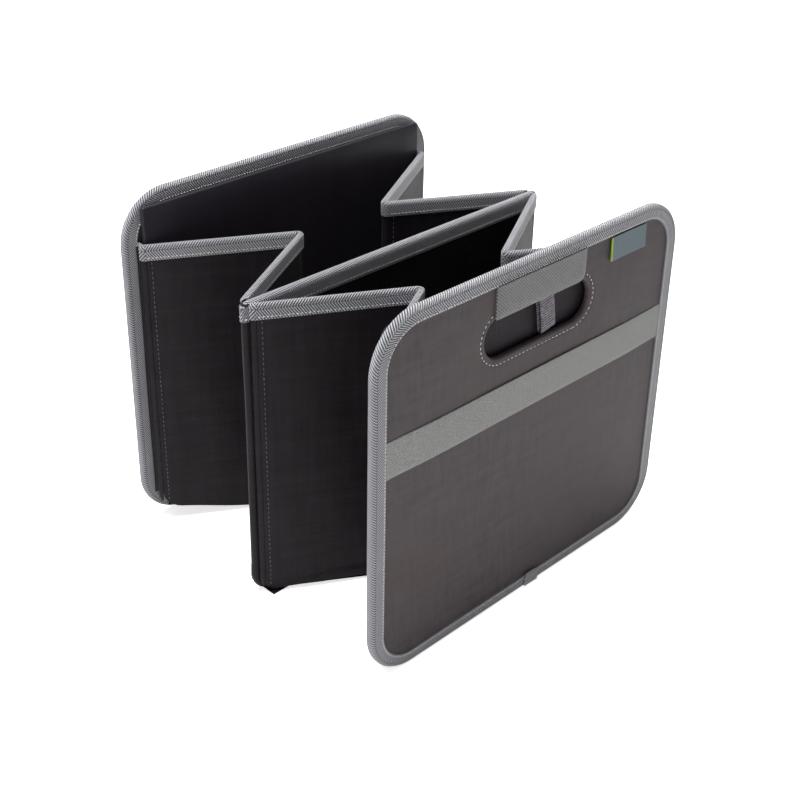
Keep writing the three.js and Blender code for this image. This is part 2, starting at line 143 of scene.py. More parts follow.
class Signal:
    """A number on its way through a material, which Python's operators extend with Math nodes."""

    def __init__(self, finish, socket):
        self.finish = finish
        self.socket = socket

    def math(self, operation, *others):
        return self.finish.math(operation, self, *others)

    def __add__(self, other):
        return self.math("ADD", other)

    def __radd__(self, other):
        return self.finish.math("ADD", other, self)

    def __sub__(self, other):
        return self.math("SUBTRACT", other)

    def __rsub__(self, other):
        return self.finish.math("SUBTRACT", other, self)

    def __mul__(self, other):
        return self.math("MULTIPLY", other)

    def __rmul__(self, other):
        return self.finish.math("MULTIPLY", other, self)

    def __truediv__(self, other):
        return self.math("DIVIDE", other)

    def __rtruediv__(self, other):
        return self.finish.math("DIVIDE", other, self)

    def wave(self, pitch):
        """A ridge of height 0 to 1 that repeats once a pitch."""
        return (self * (2 * math.pi / pitch)).math("SINE") * 0.5 + 0.5

    def zigzag(self, width):
        """Rises over one width and falls over the next."""
        return self.math("PINGPONG", width)

    def ramp(self, low, high, start=0.0, end=1.0):
        """Goes smoothly from start to end as the signal goes from low to high."""
        settings = {"interpolation_type": "SMOOTHSTEP"}
        sockets = {"Value": self, "From Min": low, "From Max": high, "To Min": start, "To Max": end}
        return self.finish.node("ShaderNodeMapRange", settings, sockets, "Result")


class Finish:
    """One material, built from nodes."""

    def __init__(self, name, roughness=0.6, **constants):
        self.material = bpy.data.materials.new(name)
        self.material.use_nodes = True
        self.tree = self.material.node_tree
        self.shader = self.tree.nodes["Principled BSDF"]
        self.shader.inputs["Roughness"].default_value = roughness
        for socket, value in constants.items():
            self.shader.inputs[socket.replace("_", " ")].default_value = value

    def node(self, kind, settings=None, sockets=None, output=0):
        made = self.tree.nodes.new(kind)
        for key, value in (settings or {}).items():
            setattr(made, key, value)
        for key, value in (sockets or {}).items():
            if isinstance(value, Signal):
                self.tree.links.new(value.socket, made.inputs[key])
            else:
                made.inputs[key].default_value = value
        return Signal(self, made.outputs[output])

    def math(self, operation, *values):
        return self.node("ShaderNodeMath", {"operation": operation}, dict(enumerate(values)))

    def along(self):
        """Millimetres along a piece, from its own attribute."""
        return self.node("ShaderNodeAttribute", {"attribute_name": "along"}, output="Fac")

    def across(self):
        """Millimetres across a piece, from its own attribute."""
        return self.node("ShaderNodeAttribute", {"attribute_name": "across"}, output="Fac")

    def place(self):
        return self.node("ShaderNodeTexCoord", output="Object")

    def speckle(self, scale, detail=3.0, stretch=(1, 1, 1)):
        """Noise on Object coordinates, finer with a larger scale, in waves a metre."""
        spread = self.node("ShaderNodeMapping", sockets={"Vector": self.place(), "Scale": stretch})
        sockets = {"Vector": spread, "Scale": scale, "Detail": detail}
        return self.node("ShaderNodeTexNoise", sockets=sockets, output="Fac")

    def mix(self, factor, low, high):
        """A colour between two colours, each given as three numbers or as a signal."""
        settings = {"data_type": "RGBA"}
        pad = [c if isinstance(c, Signal) else (*c, 1) for c in (low, high)]
        made = self.node("ShaderNodeMix", settings, output=2)
        inputs = made.socket.node.inputs
        for index, value in ((0, factor), (6, pad[0]), (7, pad[1])):
            if isinstance(value, Signal):
                self.tree.links.new(value.socket, inputs[index])
            else:
                inputs[index].default_value = value
        return made

    def set(self, socket, signal):
        self.tree.links.new(signal.socket, self.shader.inputs[socket])

    def bump(self, height, distance, strength=1.0, under=None):
        sockets = {"Height": height, "Distance": distance, "Strength": strength}
        if under is not None:
            sockets["Normal"] = under
        return self.node("ShaderNodeBump", sockets=sockets)


def shade(color, factor):
    """A colour made lighter or darker."""
    return tuple(channel * factor for channel in color)


def herringbone(finish, column, pitch):
    """Ridges of a chevron twill, 0 to 1, with a groove where the columns meet.

    One column lies round the fold of the tape, and its neighbours on the tape's two faces."""
    along, across = finish.along(), finish.across()
    turned = (across + column * 0.5).zigzag(column)
    ridge = (along + turned * 0.7).wave(pitch).math("POWER", 0.75)
    column_edge = turned / column
    groove = column_edge.ramp(0.0, 0.07) * (1 - column_edge.ramp(0.93, 1.0))
    thread = (across - along * 0.6).wave(0.55)
    return ridge, groove * 0.45 + 0.55, thread


def make_tape_finish():
    """Grey herringbone tape, with painted highlights on the crowns of its ridges and painted shade in the
    grooves between ridges and between columns.
    """
    look = settings()
    finish = Finish("binding_tape", 0.5, Sheen_Weight=0.25, Sheen_Roughness=0.4)
    ridge, groove, thread = herringbone(finish, look.tape_column, look.tape_pitch)
    wear = finish.speckle(45.0)
    # Colour follows the ridge height: a painted highlight on the crowns, up to 2.1 times the tape colour, and
    # painted shade down to 0.08 times in the grooves and where the columns meet.
    tone = ((ridge * 0.9 + thread * 0.1) * groove).ramp(0.22, 0.78)
    tint = finish.mix(tone, shade(look.tape_color, 0.08), shade(look.tape_color, 2.1))
    finish.set("Base Color", finish.mix(wear.ramp(0.35, 0.7) * 0.2, tint, shade(look.tape_color, 0.7)))
    finish.set("Roughness", 0.5 - ridge * 0.18)
    coarse = finish.bump(ridge * groove, 0.9 * MM, 1.0)
    finish.set("Normal", finish.bump(thread, 0.10 * MM, 0.6, coarse))
    return finish.material


def make_panel_cloth_finish():
    """Coated polyester of the end panels: a close plain weave with a soft gloss."""
    look = settings()
    finish = Finish("panel_cloth", 0.5, Sheen_Weight=0.03, Sheen_Roughness=0.5, Specular_IOR_Level=0.25)
    along, across = finish.along(), finish.across()
    weave = along.wave(look.panel_weave) * 0.5 + across.wave(look.panel_weave) * 0.5
    slub = finish.speckle(120.0, 2.0, (0.25, 1, 1.6)) * 0.5 + finish.speckle(150.0, 2.0, (1.6, 1, 0.25)) * 0.5
    cloud = finish.speckle(9.0, 2.0)
    tone = weave * 0.35 + slub * 0.65
    tint = finish.mix(tone.ramp(0.32, 0.68), shade(look.panel_color, 0.6), shade(look.panel_color, 1.4))
    warm = (look.panel_color[0] * 1.12, look.panel_color[1] * 0.95, look.panel_color[2] * 0.95)
    finish.set("Base Color", finish.mix(cloud.ramp(0.4, 0.65) * 0.35, tint, warm))
    finish.set("Roughness", slub * 0.16 + 0.42)
    fine = finish.bump(weave, 0.12 * MM, 0.7)
    finish.set("Normal", finish.bump(slub, 0.2 * MM, 0.6, fine))
    return finish.material


def ripstop(finish, grid, thread_width):
    """Doubled threads of a ripstop cloth, 0 to 1, one each way in every square."""
    half = grid / 2
    upright = 1 - finish.along().zigzag(half).ramp(0.0, thread_width)
    level = 1 - finish.across().zigzag(half).ramp(0.0, thread_width)
    return upright.math("MAXIMUM", level)


def make_wall_cloth_finish():
    """Thin ripstop cloth of the walls, the divider and the bottom, near black."""
    look = settings()
    finish = Finish("wall_cloth", 0.45, Sheen_Weight=0.02, Specular_IOR_Level=0.12)
    worn = finish.speckle(60.0, 2.0)
    net = ripstop(finish, look.ripstop_grid, 0.35) * worn.ramp(0.35, 0.65, 0.25, 1.0)
    weave = finish.along().wave(look.wall_weave) * 0.5 + finish.across().wave(look.wall_weave) * 0.5
    slub = finish.speckle(150.0, 2.0, (1, 1, 0.12)) * 0.5 + finish.speckle(150.0, 2.0, (0.12, 0.12, 1)) * 0.5
    tone = (weave * 0.25 + slub * 0.75).ramp(0.3, 0.7)
    tint = finish.mix(tone, shade(look.wall_color, 0.6), shade(look.wall_color, 1.5))
    finish.set("Base Color", finish.mix(net * 0.3, tint, shade(look.wall_color, 2.4)))
    finish.set("Roughness", 0.46 - net * 0.08 + slub * 0.1)
    fine = finish.bump(weave * 0.4 + slub * 0.6, 0.16 * MM, 0.7)
    finish.set("Normal", finish.bump(net, 0.10 * MM, 0.6, fine))
    return finish.material


def make_plate_cloth_finish():
    """Satin cloth over the floor plates, with a long soft gloss and painted highlights along its soft
    vertical streaks.
    """
    look = settings()
    finish = Finish("plate_cloth", 0.42, Sheen_Weight=0.03, Specular_IOR_Level=0.2)
    weave = finish.along().wave(look.wall_weave)
    streak = finish.speckle(60.0, 3.0, (1.2, 1.2, 0.12))
    # The colour is lighter where the streaks stand up: a painted highlight on the soft vertical wrinkles,
    # over the weave's own pattern.
    tone = weave * 0.25 + streak * 0.75
    tint = finish.mix(tone, shade(look.plate_color, 0.8), shade(look.plate_color, 1.25))
    finish.set("Base Color", tint)
    finish.set("Roughness", streak * 0.14 + 0.34)
    fine = finish.bump(weave, 0.05 * MM, 0.5)
    finish.set("Normal", finish.bump(streak, 0.35 * MM, 0.4, fine))
    return finish.material


def make_wrap_finish():
    """Basket weave of the padded wrap: pairs of threads over and under."""
    look = settings()
    finish = Finish("wrap_cloth", 0.62, Sheen_Weight=0.2, Sheen_Roughness=0.5)
    along, across = finish.along(), finish.across()
    pitch = look.wrap_weave
    over = (along * (math.pi / pitch)).math("SINE") * (across * (math.pi / pitch)).math("SINE") * 0.5 + 0.5
    fibre = (along + across).wave(pitch / 3) * 0.3 + finish.speckle(300.0, 2.0) * 0.7
    tone = (over * 0.75 + fibre * 0.25).ramp(0.15, 0.85)
    tint = finish.mix(tone, shade(look.wrap_color, 0.52), shade(look.wrap_color, 1.3))
    finish.set("Base Color", tint)
    finish.set("Roughness", 0.66 - over * 0.14)
    coarse = finish.bump(over, 0.4 * MM, 0.95)
    finish.set("Normal", finish.bump(fibre, 0.08 * MM, 0.5, coarse))
    return finish.material


def make_elastic_finish():
    """Woven elastic: fine cords along the band under a close crosswise knit."""
    look = settings()
    finish = Finish("elastic_band", 0.6, Sheen_Weight=0.2, Sheen_Roughness=0.5)
    cord = finish.across().wave(1.6)
    knit = (finish.along() + finish.across().zigzag(0.8) * 0.8).wave(1.1)
    fibre = finish.speckle(900.0, 3.0, (0.7, 1, 1.3)).ramp(0.35, 0.65)
    tone = cord * 0.35 + knit * 0.35 + fibre * 0.3
    tint = finish.mix(tone.ramp(0.2, 0.8), shade(look.elastic_color, 0.55), shade(look.elastic_color, 1.45))
    finish.set("Base Color", tint)
    finish.set("Roughness", fibre * 0.15 + 0.55)
    coarse = finish.bump(cord, 0.14 * MM, 0.6)
    finish.set("Normal", finish.bump(knit, 0.12 * MM, 0.6, coarse))
    return finish.material


def make_webbing_finish():
    """Ribbed webbing of the pull loops, with pale flecks in the hollows."""
    look = settings()
    finish = Finish("webbing", 0.6, Sheen_Weight=0.2, Sheen_Roughness=0.5)
    along, across = finish.along(), finish.across()
    rib = along.wave(2.0)
    flecks = (across + along * 0.3).wave(1.3) * finish.speckle(420.0, 2.0).ramp(0.42, 0.6)
    tint = finish.mix(rib, shade(look.webbing_color, 0.2), shade(look.webbing_color, 1.5))
    finish.set("Base Color", finish.mix(flecks * 0.6, tint, shade(look.webbing_color, 3.2)))
    coarse = finish.bump(rib, 0.5 * MM, 0.9)
    finish.set("Normal", finish.bump(across.wave(1.3), 0.2 * MM, 0.6, coarse))
    return finish.material


def make_tag_finish():
    """Plain woven tag with its left edge in green."""
    look = settings()
    finish = Finish("tag_cloth", 0.6, Sheen_Weight=0.15, Sheen_Roughness=0.5)
    along, across = finish.along(), finish.across()
    weave = along.wave(0.7) * across.wave(0.9)
    fibre = finish.speckle(300.0, 2.0)
    tint = finish.mix(weave * 0.5 + fibre * 0.5, shade(look.tag_color, 0.8), shade(look.tag_color, 1.2))
    edge = 1 - along.ramp(look.tag_green_edge, look.tag_green_edge + 0.25)
    finish.set("Base Color", finish.mix(edge, tint, look.tag_edge_color))
    finish.set("Normal", finish.bump(weave, 0.15 * MM, 0.6))
    finish.set("Roughness", fibre * 0.2 + 0.5)
    return finish.material


def make_thread_finish():
    """Pale sewing thread, twisted."""
    look = settings()
    finish = Finish("sewing_thread", 0.45, Sheen_Weight=0.2, Sheen_Roughness=0.4)
    twist = finish.speckle(900.0, 2.0)
    finish.set("Base Color", finish.mix(twist, shade(look.thread_color, 0.6), shade(look.thread_color, 1.3)))
    finish.set("Normal", finish.bump(twist, 0.08 * MM, 0.6))
    return finish.material


def make_dark_thread_finish():
    """Dark sewing thread that shows a little paler than the cloth."""
    look = settings()
    finish = Finish("dark_thread", 0.45, Sheen_Weight=0.2, Sheen_Roughness=0.4)
    twist = finish.speckle(900.0, 2.0)
    tint = finish.mix(twist, shade(look.dark_thread_color, 0.5), shade(look.dark_thread_color, 1.5))
    finish.set("Base Color", tint)
    finish.set("Normal", finish.bump(twist, 0.08 * MM, 0.6))
    return finish.material


def make_board_finish():
    """Pressed grey board inside the panels."""
    look = settings()
    finish = Finish("pressed_board", 0.85)
    fibre = finish.speckle(180.0, 5.0, (0.3, 1, 1))
    finish.set("Base Color", finish.mix(fibre, shade(look.board_color, 0.7), shade(look.board_color, 1.3)))
    finish.set("Normal", finish.bump(fibre, 0.1 * MM, 0.5))
    return finish.material


MAKERS = {
    "tape": make_tape_finish, "panel": make_panel_cloth_finish, "wall": make_wall_cloth_finish,
    "plate": make_plate_cloth_finish, "wrap": make_wrap_finish, "elastic": make_elastic_finish,
    "webbing": make_webbing_finish, "tag": make_tag_finish, "thread": make_thread_finish,
    "dark_thread": make_dark_thread_finish, "board": make_board_finish,
}
made_finishes = {}


def material(name):
    """A finish by its short name, made when it is first asked for."""
    if name not in made_finishes:
        made_finishes[name] = MAKERS[name]()
    return made_finishes[name]


def settings():
    """The sizes and colours that the side panel offers."""
    return bpy.context.scene.storage_box


# Bmesh helpers

def new_cloth_mesh():
    """An empty bmesh whose points carry millimetres along and across their cloth."""
    bm = bmesh.new()
    bm.verts.layers.float.new("along")
    bm.verts.layers.float.new("across")
    return bm


def label(bm, measure, verts=None):
    """Writes measure(point) in millimetres, as (along, across), on the points."""
    along, across = bm.verts.layers.float["along"], bm.verts.layers.float["across"]
    for vert in verts or bm.verts:
        a, b = measure(vert.co)
        vert[along], vert[across] = a / MM, b / MM


def flat_measure(point):
    """Along and across a flat sheet, which are its own axes."""
    return point.x, point.y


def add_rounded_outline(bm, width, height, radii, middle=(0, 0), segments=10):
    """The edges of a rectangle whose corners are rounded, from the lower left one round by the right."""
    made = bmesh.ops.create_grid(bm, x_segments=1, y_segments=1, size=0.5)["verts"]
    for vert in made:
        vert.co = Vector((middle[0] + vert.co.x * width, middle[1] + vert.co.y * height, 0))
    face = made[0].link_faces[0]
    corners = [(-1, -1), (1, -1), (1, 1), (-1, 1)]
    for corner, radius in zip(corners, radii):
        if radius <= 0:
            continue
        goal = Vector((middle[0] + corner[0] * width / 2, middle[1] + corner[1] * height / 2, 0))
        vert = min(face.verts, key=lambda v: (v.co - goal).length)
        bmesh.ops.bevel(bm, geom=[vert], offset=radius, offset_type="OFFSET", affect="VERTICES",
                        segments=segments, profile=0.5, material=-1)
        face = max(bm.faces, key=lambda f: f.calc_area() if goal_inside(f, middle, width, height) else 0)
    return face


def goal_inside(face, middle, width, height):
    """Whether a face's middle lies inside a rectangle."""
    offset = face.calc_center_bounds()
    return abs(offset.x - middle[0]) < width / 2 and abs(offset.y - middle[1]) < height / 2


def cut_rows(bm, heights):
    """Cuts a flat face at a few more heights."""
    for height in heights:
        geom = bm.verts[:] + bm.edges[:] + bm.faces[:]
        bmesh.ops.bisect_plane(bm, geom=geom, dist=1e-7, plane_co=(0, height, 0), plane_no=(0, 1, 0))


def grid_cut(bm, cell_x, cell_y):
    """Cuts a flat face into cells, so that its cloth can be shaped."""
    for axis, cell in ((0, cell_x), (1, cell_y)):
        low = min(v.co[axis] for v in bm.verts)
        high = max(v.co[axis] for v in bm.verts)
        count = max(1, round((high - low) / cell))
        normal = Vector((1, 0, 0)) if axis == 0 else Vector((0, 1, 0))
        for step in range(1, count):
            place = normal * (low + (high - low) * step / count)
            geom = bm.verts[:] + bm.edges[:] + bm.faces[:]
            bmesh.ops.bisect_plane(bm, geom=geom, dist=1e-7, plane_co=place, plane_no=normal)


def face_along(bm, way=1):
    """Turns every face of a flat sheet to look up, or down for a way of -1."""
    for face in bm.faces:
        if face.normal.z * way < 0:
            face.normal_flip()


def thicken(bm, depth):
    """Gives a sheet its thickness, on the side that its faces point away from."""
    bmesh.ops.solidify(bm, geom=bm.faces[:], thickness=depth)


def add_second_face(bm, depth):
    """Makes a flat sheet a slab, with its second face a depth above the first."""
    made = bmesh.ops.extrude_face_region(bm, geom=bm.faces[:])["geom"]
    lifted = [item for item in made if isinstance(item, bmesh.types.BMVert)]
    bmesh.ops.translate(bm, vec=(0, 0, depth), verts=lifted)
    bmesh.ops.recalc_face_normals(bm, faces=bm.faces[:])


def extrude_row(bm, edges):
    """Extrudes a row of edges, and returns the new points and the new row."""
    made = bmesh.ops.extrude_edge_only(bm, edges=edges)["geom"]
    verts = [item for item in made if isinstance(item, bmesh.types.BMVert)]
    row = [item for item in made if isinstance(item, bmesh.types.BMEdge)
           and all(vert in verts for vert in item.verts)]
    return verts, row


def swap_labels(bm):
    """Exchanges along and across, for a sweep whose cloth runs round its profile."""
    along, across = bm.verts.layers.float["along"], bm.verts.layers.float["across"]
    for vert in bm.verts:
        vert[along], vert[across] = vert[across], vert[along]


def finish_piece(name, bm, place, finish, body, nodes=(), smooth=True):
    """Turns a bmesh into a piece at its place, on its body."""
    bm.transform(place)
    if place.determinant() < 0:
        bmesh.ops.reverse_faces(bm, faces=bm.faces[:])
    mesh = bpy.data.meshes.new(name)
    bm.to_mesh(mesh)
    bm.free()
    mesh.materials.append(material(finish))
    if smooth:
        mesh.shade_smooth()
    piece = bpy.data.objects.new(name, mesh)
    bpy.context.scene.collection.objects.link(piece)
    if body:
        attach(piece, body)
    if nodes:
        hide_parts(*nodes)
    return piece


def smooth_by_angle(piece, degrees):
    """Keeps edges sharper than an angle crisp."""
    mesh = piece.data
    mesh.set_sharp_from_angle(angle=math.radians(degrees))


class Sweep:
    """Carries a closed profile along straight runs and turns, and notes how far along each ring lies."""

    def __init__(self, profile, across, reach=0.0):
        self.bm = new_cloth_mesh()
        self.along_layer = self.bm.verts.layers.float["along"]
        across_layer = self.bm.verts.layers.float["across"]
        ring = []
        for point, distance in zip(profile, across):
            vert = self.bm.verts.new(point)
            vert[across_layer] = distance / MM
            vert[self.along_layer] = reach / MM
            ring.append(vert)
        pairs = zip(ring, ring[1:] + ring[:1])
        self.end = [self.bm.edges.new(pair) for pair in pairs]
        self.start = list(self.end)
        self.reach = reach

    def end_verts(self):
        return list({vert for edge in self.end for vert in edge.verts})

    def mark(self, step):
        self.reach += step
        for vert in self.end_verts():
            vert[self.along_layer] = self.reach / MM

    def straight(self, vector, steps=1):
        for _ in range(steps):
            _, self.end = extrude_row(self.bm, self.end)
            bmesh.ops.translate(self.bm, vec=vector / steps, verts=self.end_verts())
            self.mark(vector.length / steps)
        return self

    def turn(self, middle, axis, angle, radius, steps=6):
        for _ in range(steps):
            geom = self.end + self.end_verts()
            made = bmesh.ops.spin(self.bm, geom=geom, cent=middle, axis=axis, angle=angle / steps,
                                  steps=1, use_duplicate=False)["geom_last"]
            self.end = [item for item in made if isinstance(item, bmesh.types.BMEdge)]
            self.mark(abs(angle) * radius / steps)
        return self

    def close(self):
        for edges in (self.start, self.end):
            bmesh.ops.contextual_create(self.bm, geom=edges)
        bmesh.ops.remove_doubles(self.bm, verts=self.bm.verts[:], dist=1e-7)
        bmesh.ops.recalc_face_normals(self.bm, faces=self.bm.faces[:])
        return self.bm


def stitch_rows(name, rows, body, thread="thread", length=2.3 * MM, width=0.7 * MM, gap=1.1 * MM):
    """Stitches along rows of points, each row with the direction that its cloth faces."""
    bm = new_cloth_mesh()
    for points, facing in rows:
        distance = 0.0
        start, end = length / 2, length + gap
        for a, b in zip(points, points[1:]):
            run = (b - a).length
            while start <= distance + run:
                middle = a + (b - a) * ((start - distance) / run)
                add_stitch(bm, middle, (b - a).normalized(), facing, length, width)
                start += end
            distance += run
    return finish_piece(name, bm, Matrix.Identity(4), thread, body)


def add_stitch(bm, middle, direction, facing, length, width):
    """One stitch, as a flat bead of thread."""
    side = facing.cross(direction).normalized()
    turned = Matrix((direction, side, facing)).transposed().to_4x4()
    place = Matrix.Translation(middle) @ turned @ Matrix.Diagonal((length / 2, width / 2, width * 0.5, 1))
    bmesh.ops.create_icosphere(bm, subdivisions=1, radius=1.0, matrix=place)


def arc_points(middle, radius, start, end, count=10):
    """Points of an arc in the XY plane, angles in degrees."""
    angles = [math.radians(start + (end - start) * i / count) for i in range(count + 1)]
    return [Vector((middle[0] + radius * math.cos(a), middle[1] + radius * math.sin(a), 0)) for a in angles]


def rounded_loop(width, height, radius, middle=(0, 0)):
    """Points of a rounded rectangle's outline, from the lower left corner round by the right."""
    right, top = width / 2 - radius, height / 2 - radius
    corners = (((right, -top), -90), ((right, top), 0), ((-right, top), 90), ((-right, -top), 180))
    loop = []
    for (x, y), start in corners:
        loop += arc_points((middle[0] + x, middle[1] + y), radius, start, start + 90)
    return loop + loop[:1]


def distances(points):
    """How far along a row of points each one lies."""
    reached = [0.0]
    for a, b in zip(points, points[1:]):
        reached.append(reached[-1] + (b - a).length)
    return reached


def placed(points, matrix):
    """Points moved to where a matrix puts them."""
    return [matrix @ point for point in points]


# Frames of the end panels and walls

def panel_place(end):
    """Across the panel, up, and outwards, from the middle of its foot."""
    facing = dict(ENDS)[end]
    turned = Matrix(((-facing, 0, 0), (0, 0, facing), (0, 1, 0))).to_4x4()
    return Matrix.Translation((0, facing * PANEL_Y, 0)) @ turned


def wall_place(end, side, which):
    """Along a wall from its corner fold, across it towards the inside of the compartment, and up."""
    facing, hand = dict(ENDS)[end], dict(SIDES)[side]
    near = NEAR_Y if which == "inner" else FAR_Y
    corner = Vector((hand * CORNER_X, facing * near, 0))
    middle = Vector((hand * MIDDLE_X, facing * MIDDLE_Y, 0))
    inwards = Vector((0, math.copysign(1, near - MIDDLE_Y) * facing, 0))
    chord = (middle - corner).normalized()
    lean = math.asin(2 * PIN_OFFSET / WALL_LINK)
    square = (inwards - chord * inwards.dot(chord)).normalized()
    along = chord * math.cos(lean) + square * math.sin(lean)
    across = (inwards - along * inwards.dot(along)).normalized()
    start = corner - across * PIN_OFFSET
    columns = Matrix((along, across, Vector((0, 0, 1)))).transposed().to_4x4()
    return Matrix.Translation(start) @ columns


WALL_RUN = math.sqrt(WALL_LINK ** 2 - (2 * PIN_OFFSET) ** 2)


# Sizes and colours that a user would change

class StorageBoxSettings(bpy.types.PropertyGroup):
    """Sizes and colours of the cloth, tape and padding."""

    tape_column: FloatProperty(
        name="Tape column", description="Width of one column of the herringbone tape, in millimetres",
        default=11.0, min=2, max=20)
    tape_pitch: FloatProperty(
        name="Tape pitch", description="Distance between the tape's ridges, in millimetres",
        default=2.0, min=0.5, max=6)
    panel_weave: FloatProperty(
        name="Panel weave", description="Thread pitch of the end panels' cloth, in millimetres",
        default=0.9, min=0.2, max=4)
    wall_weave: FloatProperty(
        name="Wall weave", description="Thread pitch of the walls' cloth, in millimetres",
        default=0.7, min=0.2, max=4)
    ripstop_grid: FloatProperty(
        name="Ripstop grid", description="Distance between the doubled threads, in millimetres",
        default=4.6, min=2, max=12)
    wrap_weave: FloatProperty(
        name="Wrap weave", description="Pitch of the handle wrap's basket weave, in millimetres",
        default=1.25, min=0.4, max=4)
    tag_green_edge: FloatProperty(
        name="Tag edge", description="Width of the tag's green edge, in millimetres",
        default=1.3, min=0, max=6)
    tape_reach: FloatProperty(
        name="Tape reach", description="How far the edge tape reaches over a panel",
        default=0.012, min=0.006, max=0.03, unit="LENGTH")
    tape_thickness: FloatProperty(
        name="Tape thickness", description="Thickness of the edge tape",
        default=0.0008, min=0.0003, max=0.002, unit="LENGTH")
    panel_crown: FloatProperty(
        name="Panel crown", description="How far the end panels' cloth stands out in the middle",
        default=0.0008, min=0, max=0.004, unit="LENGTH")
    wall_crown: FloatProperty(
        name="Wall crown", description="How far the walls' cloth waves",
        default=0.0017, min=0, max=0.002, unit="LENGTH")
    plate_wrinkle: FloatProperty(
        name="Plate wrinkle", description="Depth of the wrinkles in the floor plates' cloth",
        default=0.0008, min=0, max=0.001, unit="LENGTH")
    panel_color: FloatVectorProperty(
        name="Panel cloth", description="Colour of the end panels", subtype="COLOR",
        default=(0.0475, 0.0370, 0.0393), min=0, max=1)
    wall_color: FloatVectorProperty(
        name="Wall cloth", description="Colour of the walls and the divider", subtype="COLOR",
        default=(0.0108, 0.0080, 0.0104), min=0, max=1)
    plate_color: FloatVectorProperty(
        name="Plate cloth", description="Colour of the floor plates", subtype="COLOR",
        default=(0.021, 0.0175, 0.0245), min=0, max=1)
    tape_color: FloatVectorProperty(
        name="Binding tape", description="Colour of the binding tape", subtype="COLOR",
        default=(0.212, 0.212, 0.232), min=0, max=1)
    wrap_color: FloatVectorProperty(
        name="Handle wrap", description="Colour of the handle wraps", subtype="COLOR",
        default=(0.135, 0.135, 0.138), min=0, max=1)
    elastic_color: FloatVectorProperty(
        name="Elastic band", description="Colour of the elastic band", subtype="COLOR",
        default=(0.180, 0.184, 0.174), min=0, max=1)
    webbing_color: FloatVectorProperty(
        name="Webbing", description="Colour of the pull loops", subtype="COLOR",
        default=(0.088, 0.074, 0.092), min=0, max=1)
    tag_color: FloatVectorProperty(
        name="Tag", description="Colour of the tag", subtype="COLOR",
        default=(0.085, 0.125, 0.145), min=0, max=1)
    tag_edge_color: FloatVectorProperty(
        name="Tag edge colour", description="Colour of the tag's left edge", subtype="COLOR",
        default=(0.26, 0.42, 0.02), min=0, max=1)
    thread_color: FloatVectorProperty(
        name="Thread", description="Colour of the pale sewing thread", subtype="COLOR",
        default=(0.72, 0.71, 0.70), min=0, max=1)
    dark_thread_color: FloatVectorProperty(
        name="Dark thread", description="Colour of the dark sewing thread", subtype="COLOR",
        default=(0.075, 0.066, 0.071), min=0, max=1)
    board_color: FloatVectorProperty(
        name="Board", description="Colour of the stiffening boards", subtype="COLOR",
        default=(0.18, 0.16, 0.15), min=0, max=1)


# Stage

class STORAGEBOX_OT_stage(bpy.types.Operator):
    """Pale floor, soft lamps and the camera at the photograph's angle"""

    bl_idname = "storagebox.stage"
    bl_label = "Stage"

    def execute(self, context):
        self.make_floor()
        self.make_world(context.scene)
        self.make_lamps()
        self.make_camera(context.scene)
        context.scene.view_settings.view_transform = "Standard"
        return {"FINISHED"}

    @staticmethod
    def make_floor():
        bm = bmesh.new()
        bmesh.ops.create_grid(bm, x_segments=1, y_segments=1, size=60.0)
        mesh = bpy.data.meshes.new("floor")
        bm.to_mesh(mesh)
        bm.free()
        finish = Finish("pale_floor", 0.9, Specular_IOR_Level=0.1)
        paper = finish.speckle(40.0)
        finish.set("Base Color", finish.mix(paper, (0.93, 0.93, 0.93), (0.95, 0.95, 0.95)))
        seen = finish.node("ShaderNodeLightPath", output="Is Camera Ray")
        finish.shader.inputs["Emission Strength"].default_value = 0.72
        finish.set("Emission Color", finish.mix(seen, (0, 0, 0), (1, 1, 1)))
        mesh.materials.append(finish.material)
        floor = bpy.data.objects.new("floor", mesh)
        bpy.context.scene.collection.objects.link(floor)

    @staticmethod
    def make_world(scene):
        world = bpy.data.worlds.new("studio")
        scene.world = world
        world.use_nodes = True
        nodes, links = world.node_tree.nodes, world.node_tree.links
        background = nodes["Background"]
        background.inputs["Color"].default_value = (1, 1, 1, 1)
        rays = nodes.new("ShaderNodeLightPath")
        seen = nodes.new("ShaderNodeMath")
        seen.operation = "MULTIPLY_ADD"
        seen.inputs[1].default_value = 0.70
        seen.inputs[2].default_value = 0.31
        links.new(rays.outputs["Is Camera Ray"], seen.inputs[0])
        links.new(seen.outputs[0], background.inputs["Strength"])

    @staticmethod
    def make_lamps():
        goal = Vector((0, 0, 0.12))
        lamps = (
            ("top", (-0.35, 0.25, 1.9), 0.9, 62.0),
            ("right", (2.1, 0.7, 0.9), 1.1, 24.0),
            ("front", (-0.5, -0.95, 0.06), 0.5, 2.9),
        )
        for name, place, size, power in lamps:
            lamp = bpy.data.lights.new(name, "AREA")
            lamp.size = size
            lamp.energy = power
            holder = bpy.data.objects.new(name, lamp)
            holder.location = place
            holder.rotation_euler = (goal - Vector(place)).to_track_quat("-Z", "Y").to_euler()
            bpy.context.scene.collection.objects.link(holder)

    @staticmethod
    def make_camera(scene):
        yaw, pitch, roll = (math.radians(angle) for angle in (44.96, 27.52, -1.08))
        focal_pixels, frame_pixels, centre_row = 1351.4, 800, 320
        sensor = 36.0
        forward = Vector((math.sin(yaw) * math.cos(pitch), math.cos(yaw) * math.cos(pitch), -math.sin(pitch)))
        right = Vector((math.cos(yaw), -math.sin(yaw), 0))
        down = forward.cross(right)
        image_right = right * math.cos(roll) + down * math.sin(roll)
        image_up = right * math.sin(roll) - down * math.cos(roll)
        lens = bpy.data.cameras.new("camera")
        lens.sensor_width = sensor
        lens.lens = focal_pixels * sensor / frame_pixels
        lens.shift_y = (centre_row - frame_pixels / 2) / frame_pixels
        lens.clip_start = 0.01
        camera = bpy.data.objects.new("camera", lens)
        turned = Matrix((image_right, image_up, -forward)).transposed().to_4x4()
        camera.matrix_world = Matrix.Translation((-0.6434, -0.6443, 0.6519)) @ turned
        scene.collection.objects.link(camera)
        scene.camera = camera


# Boards

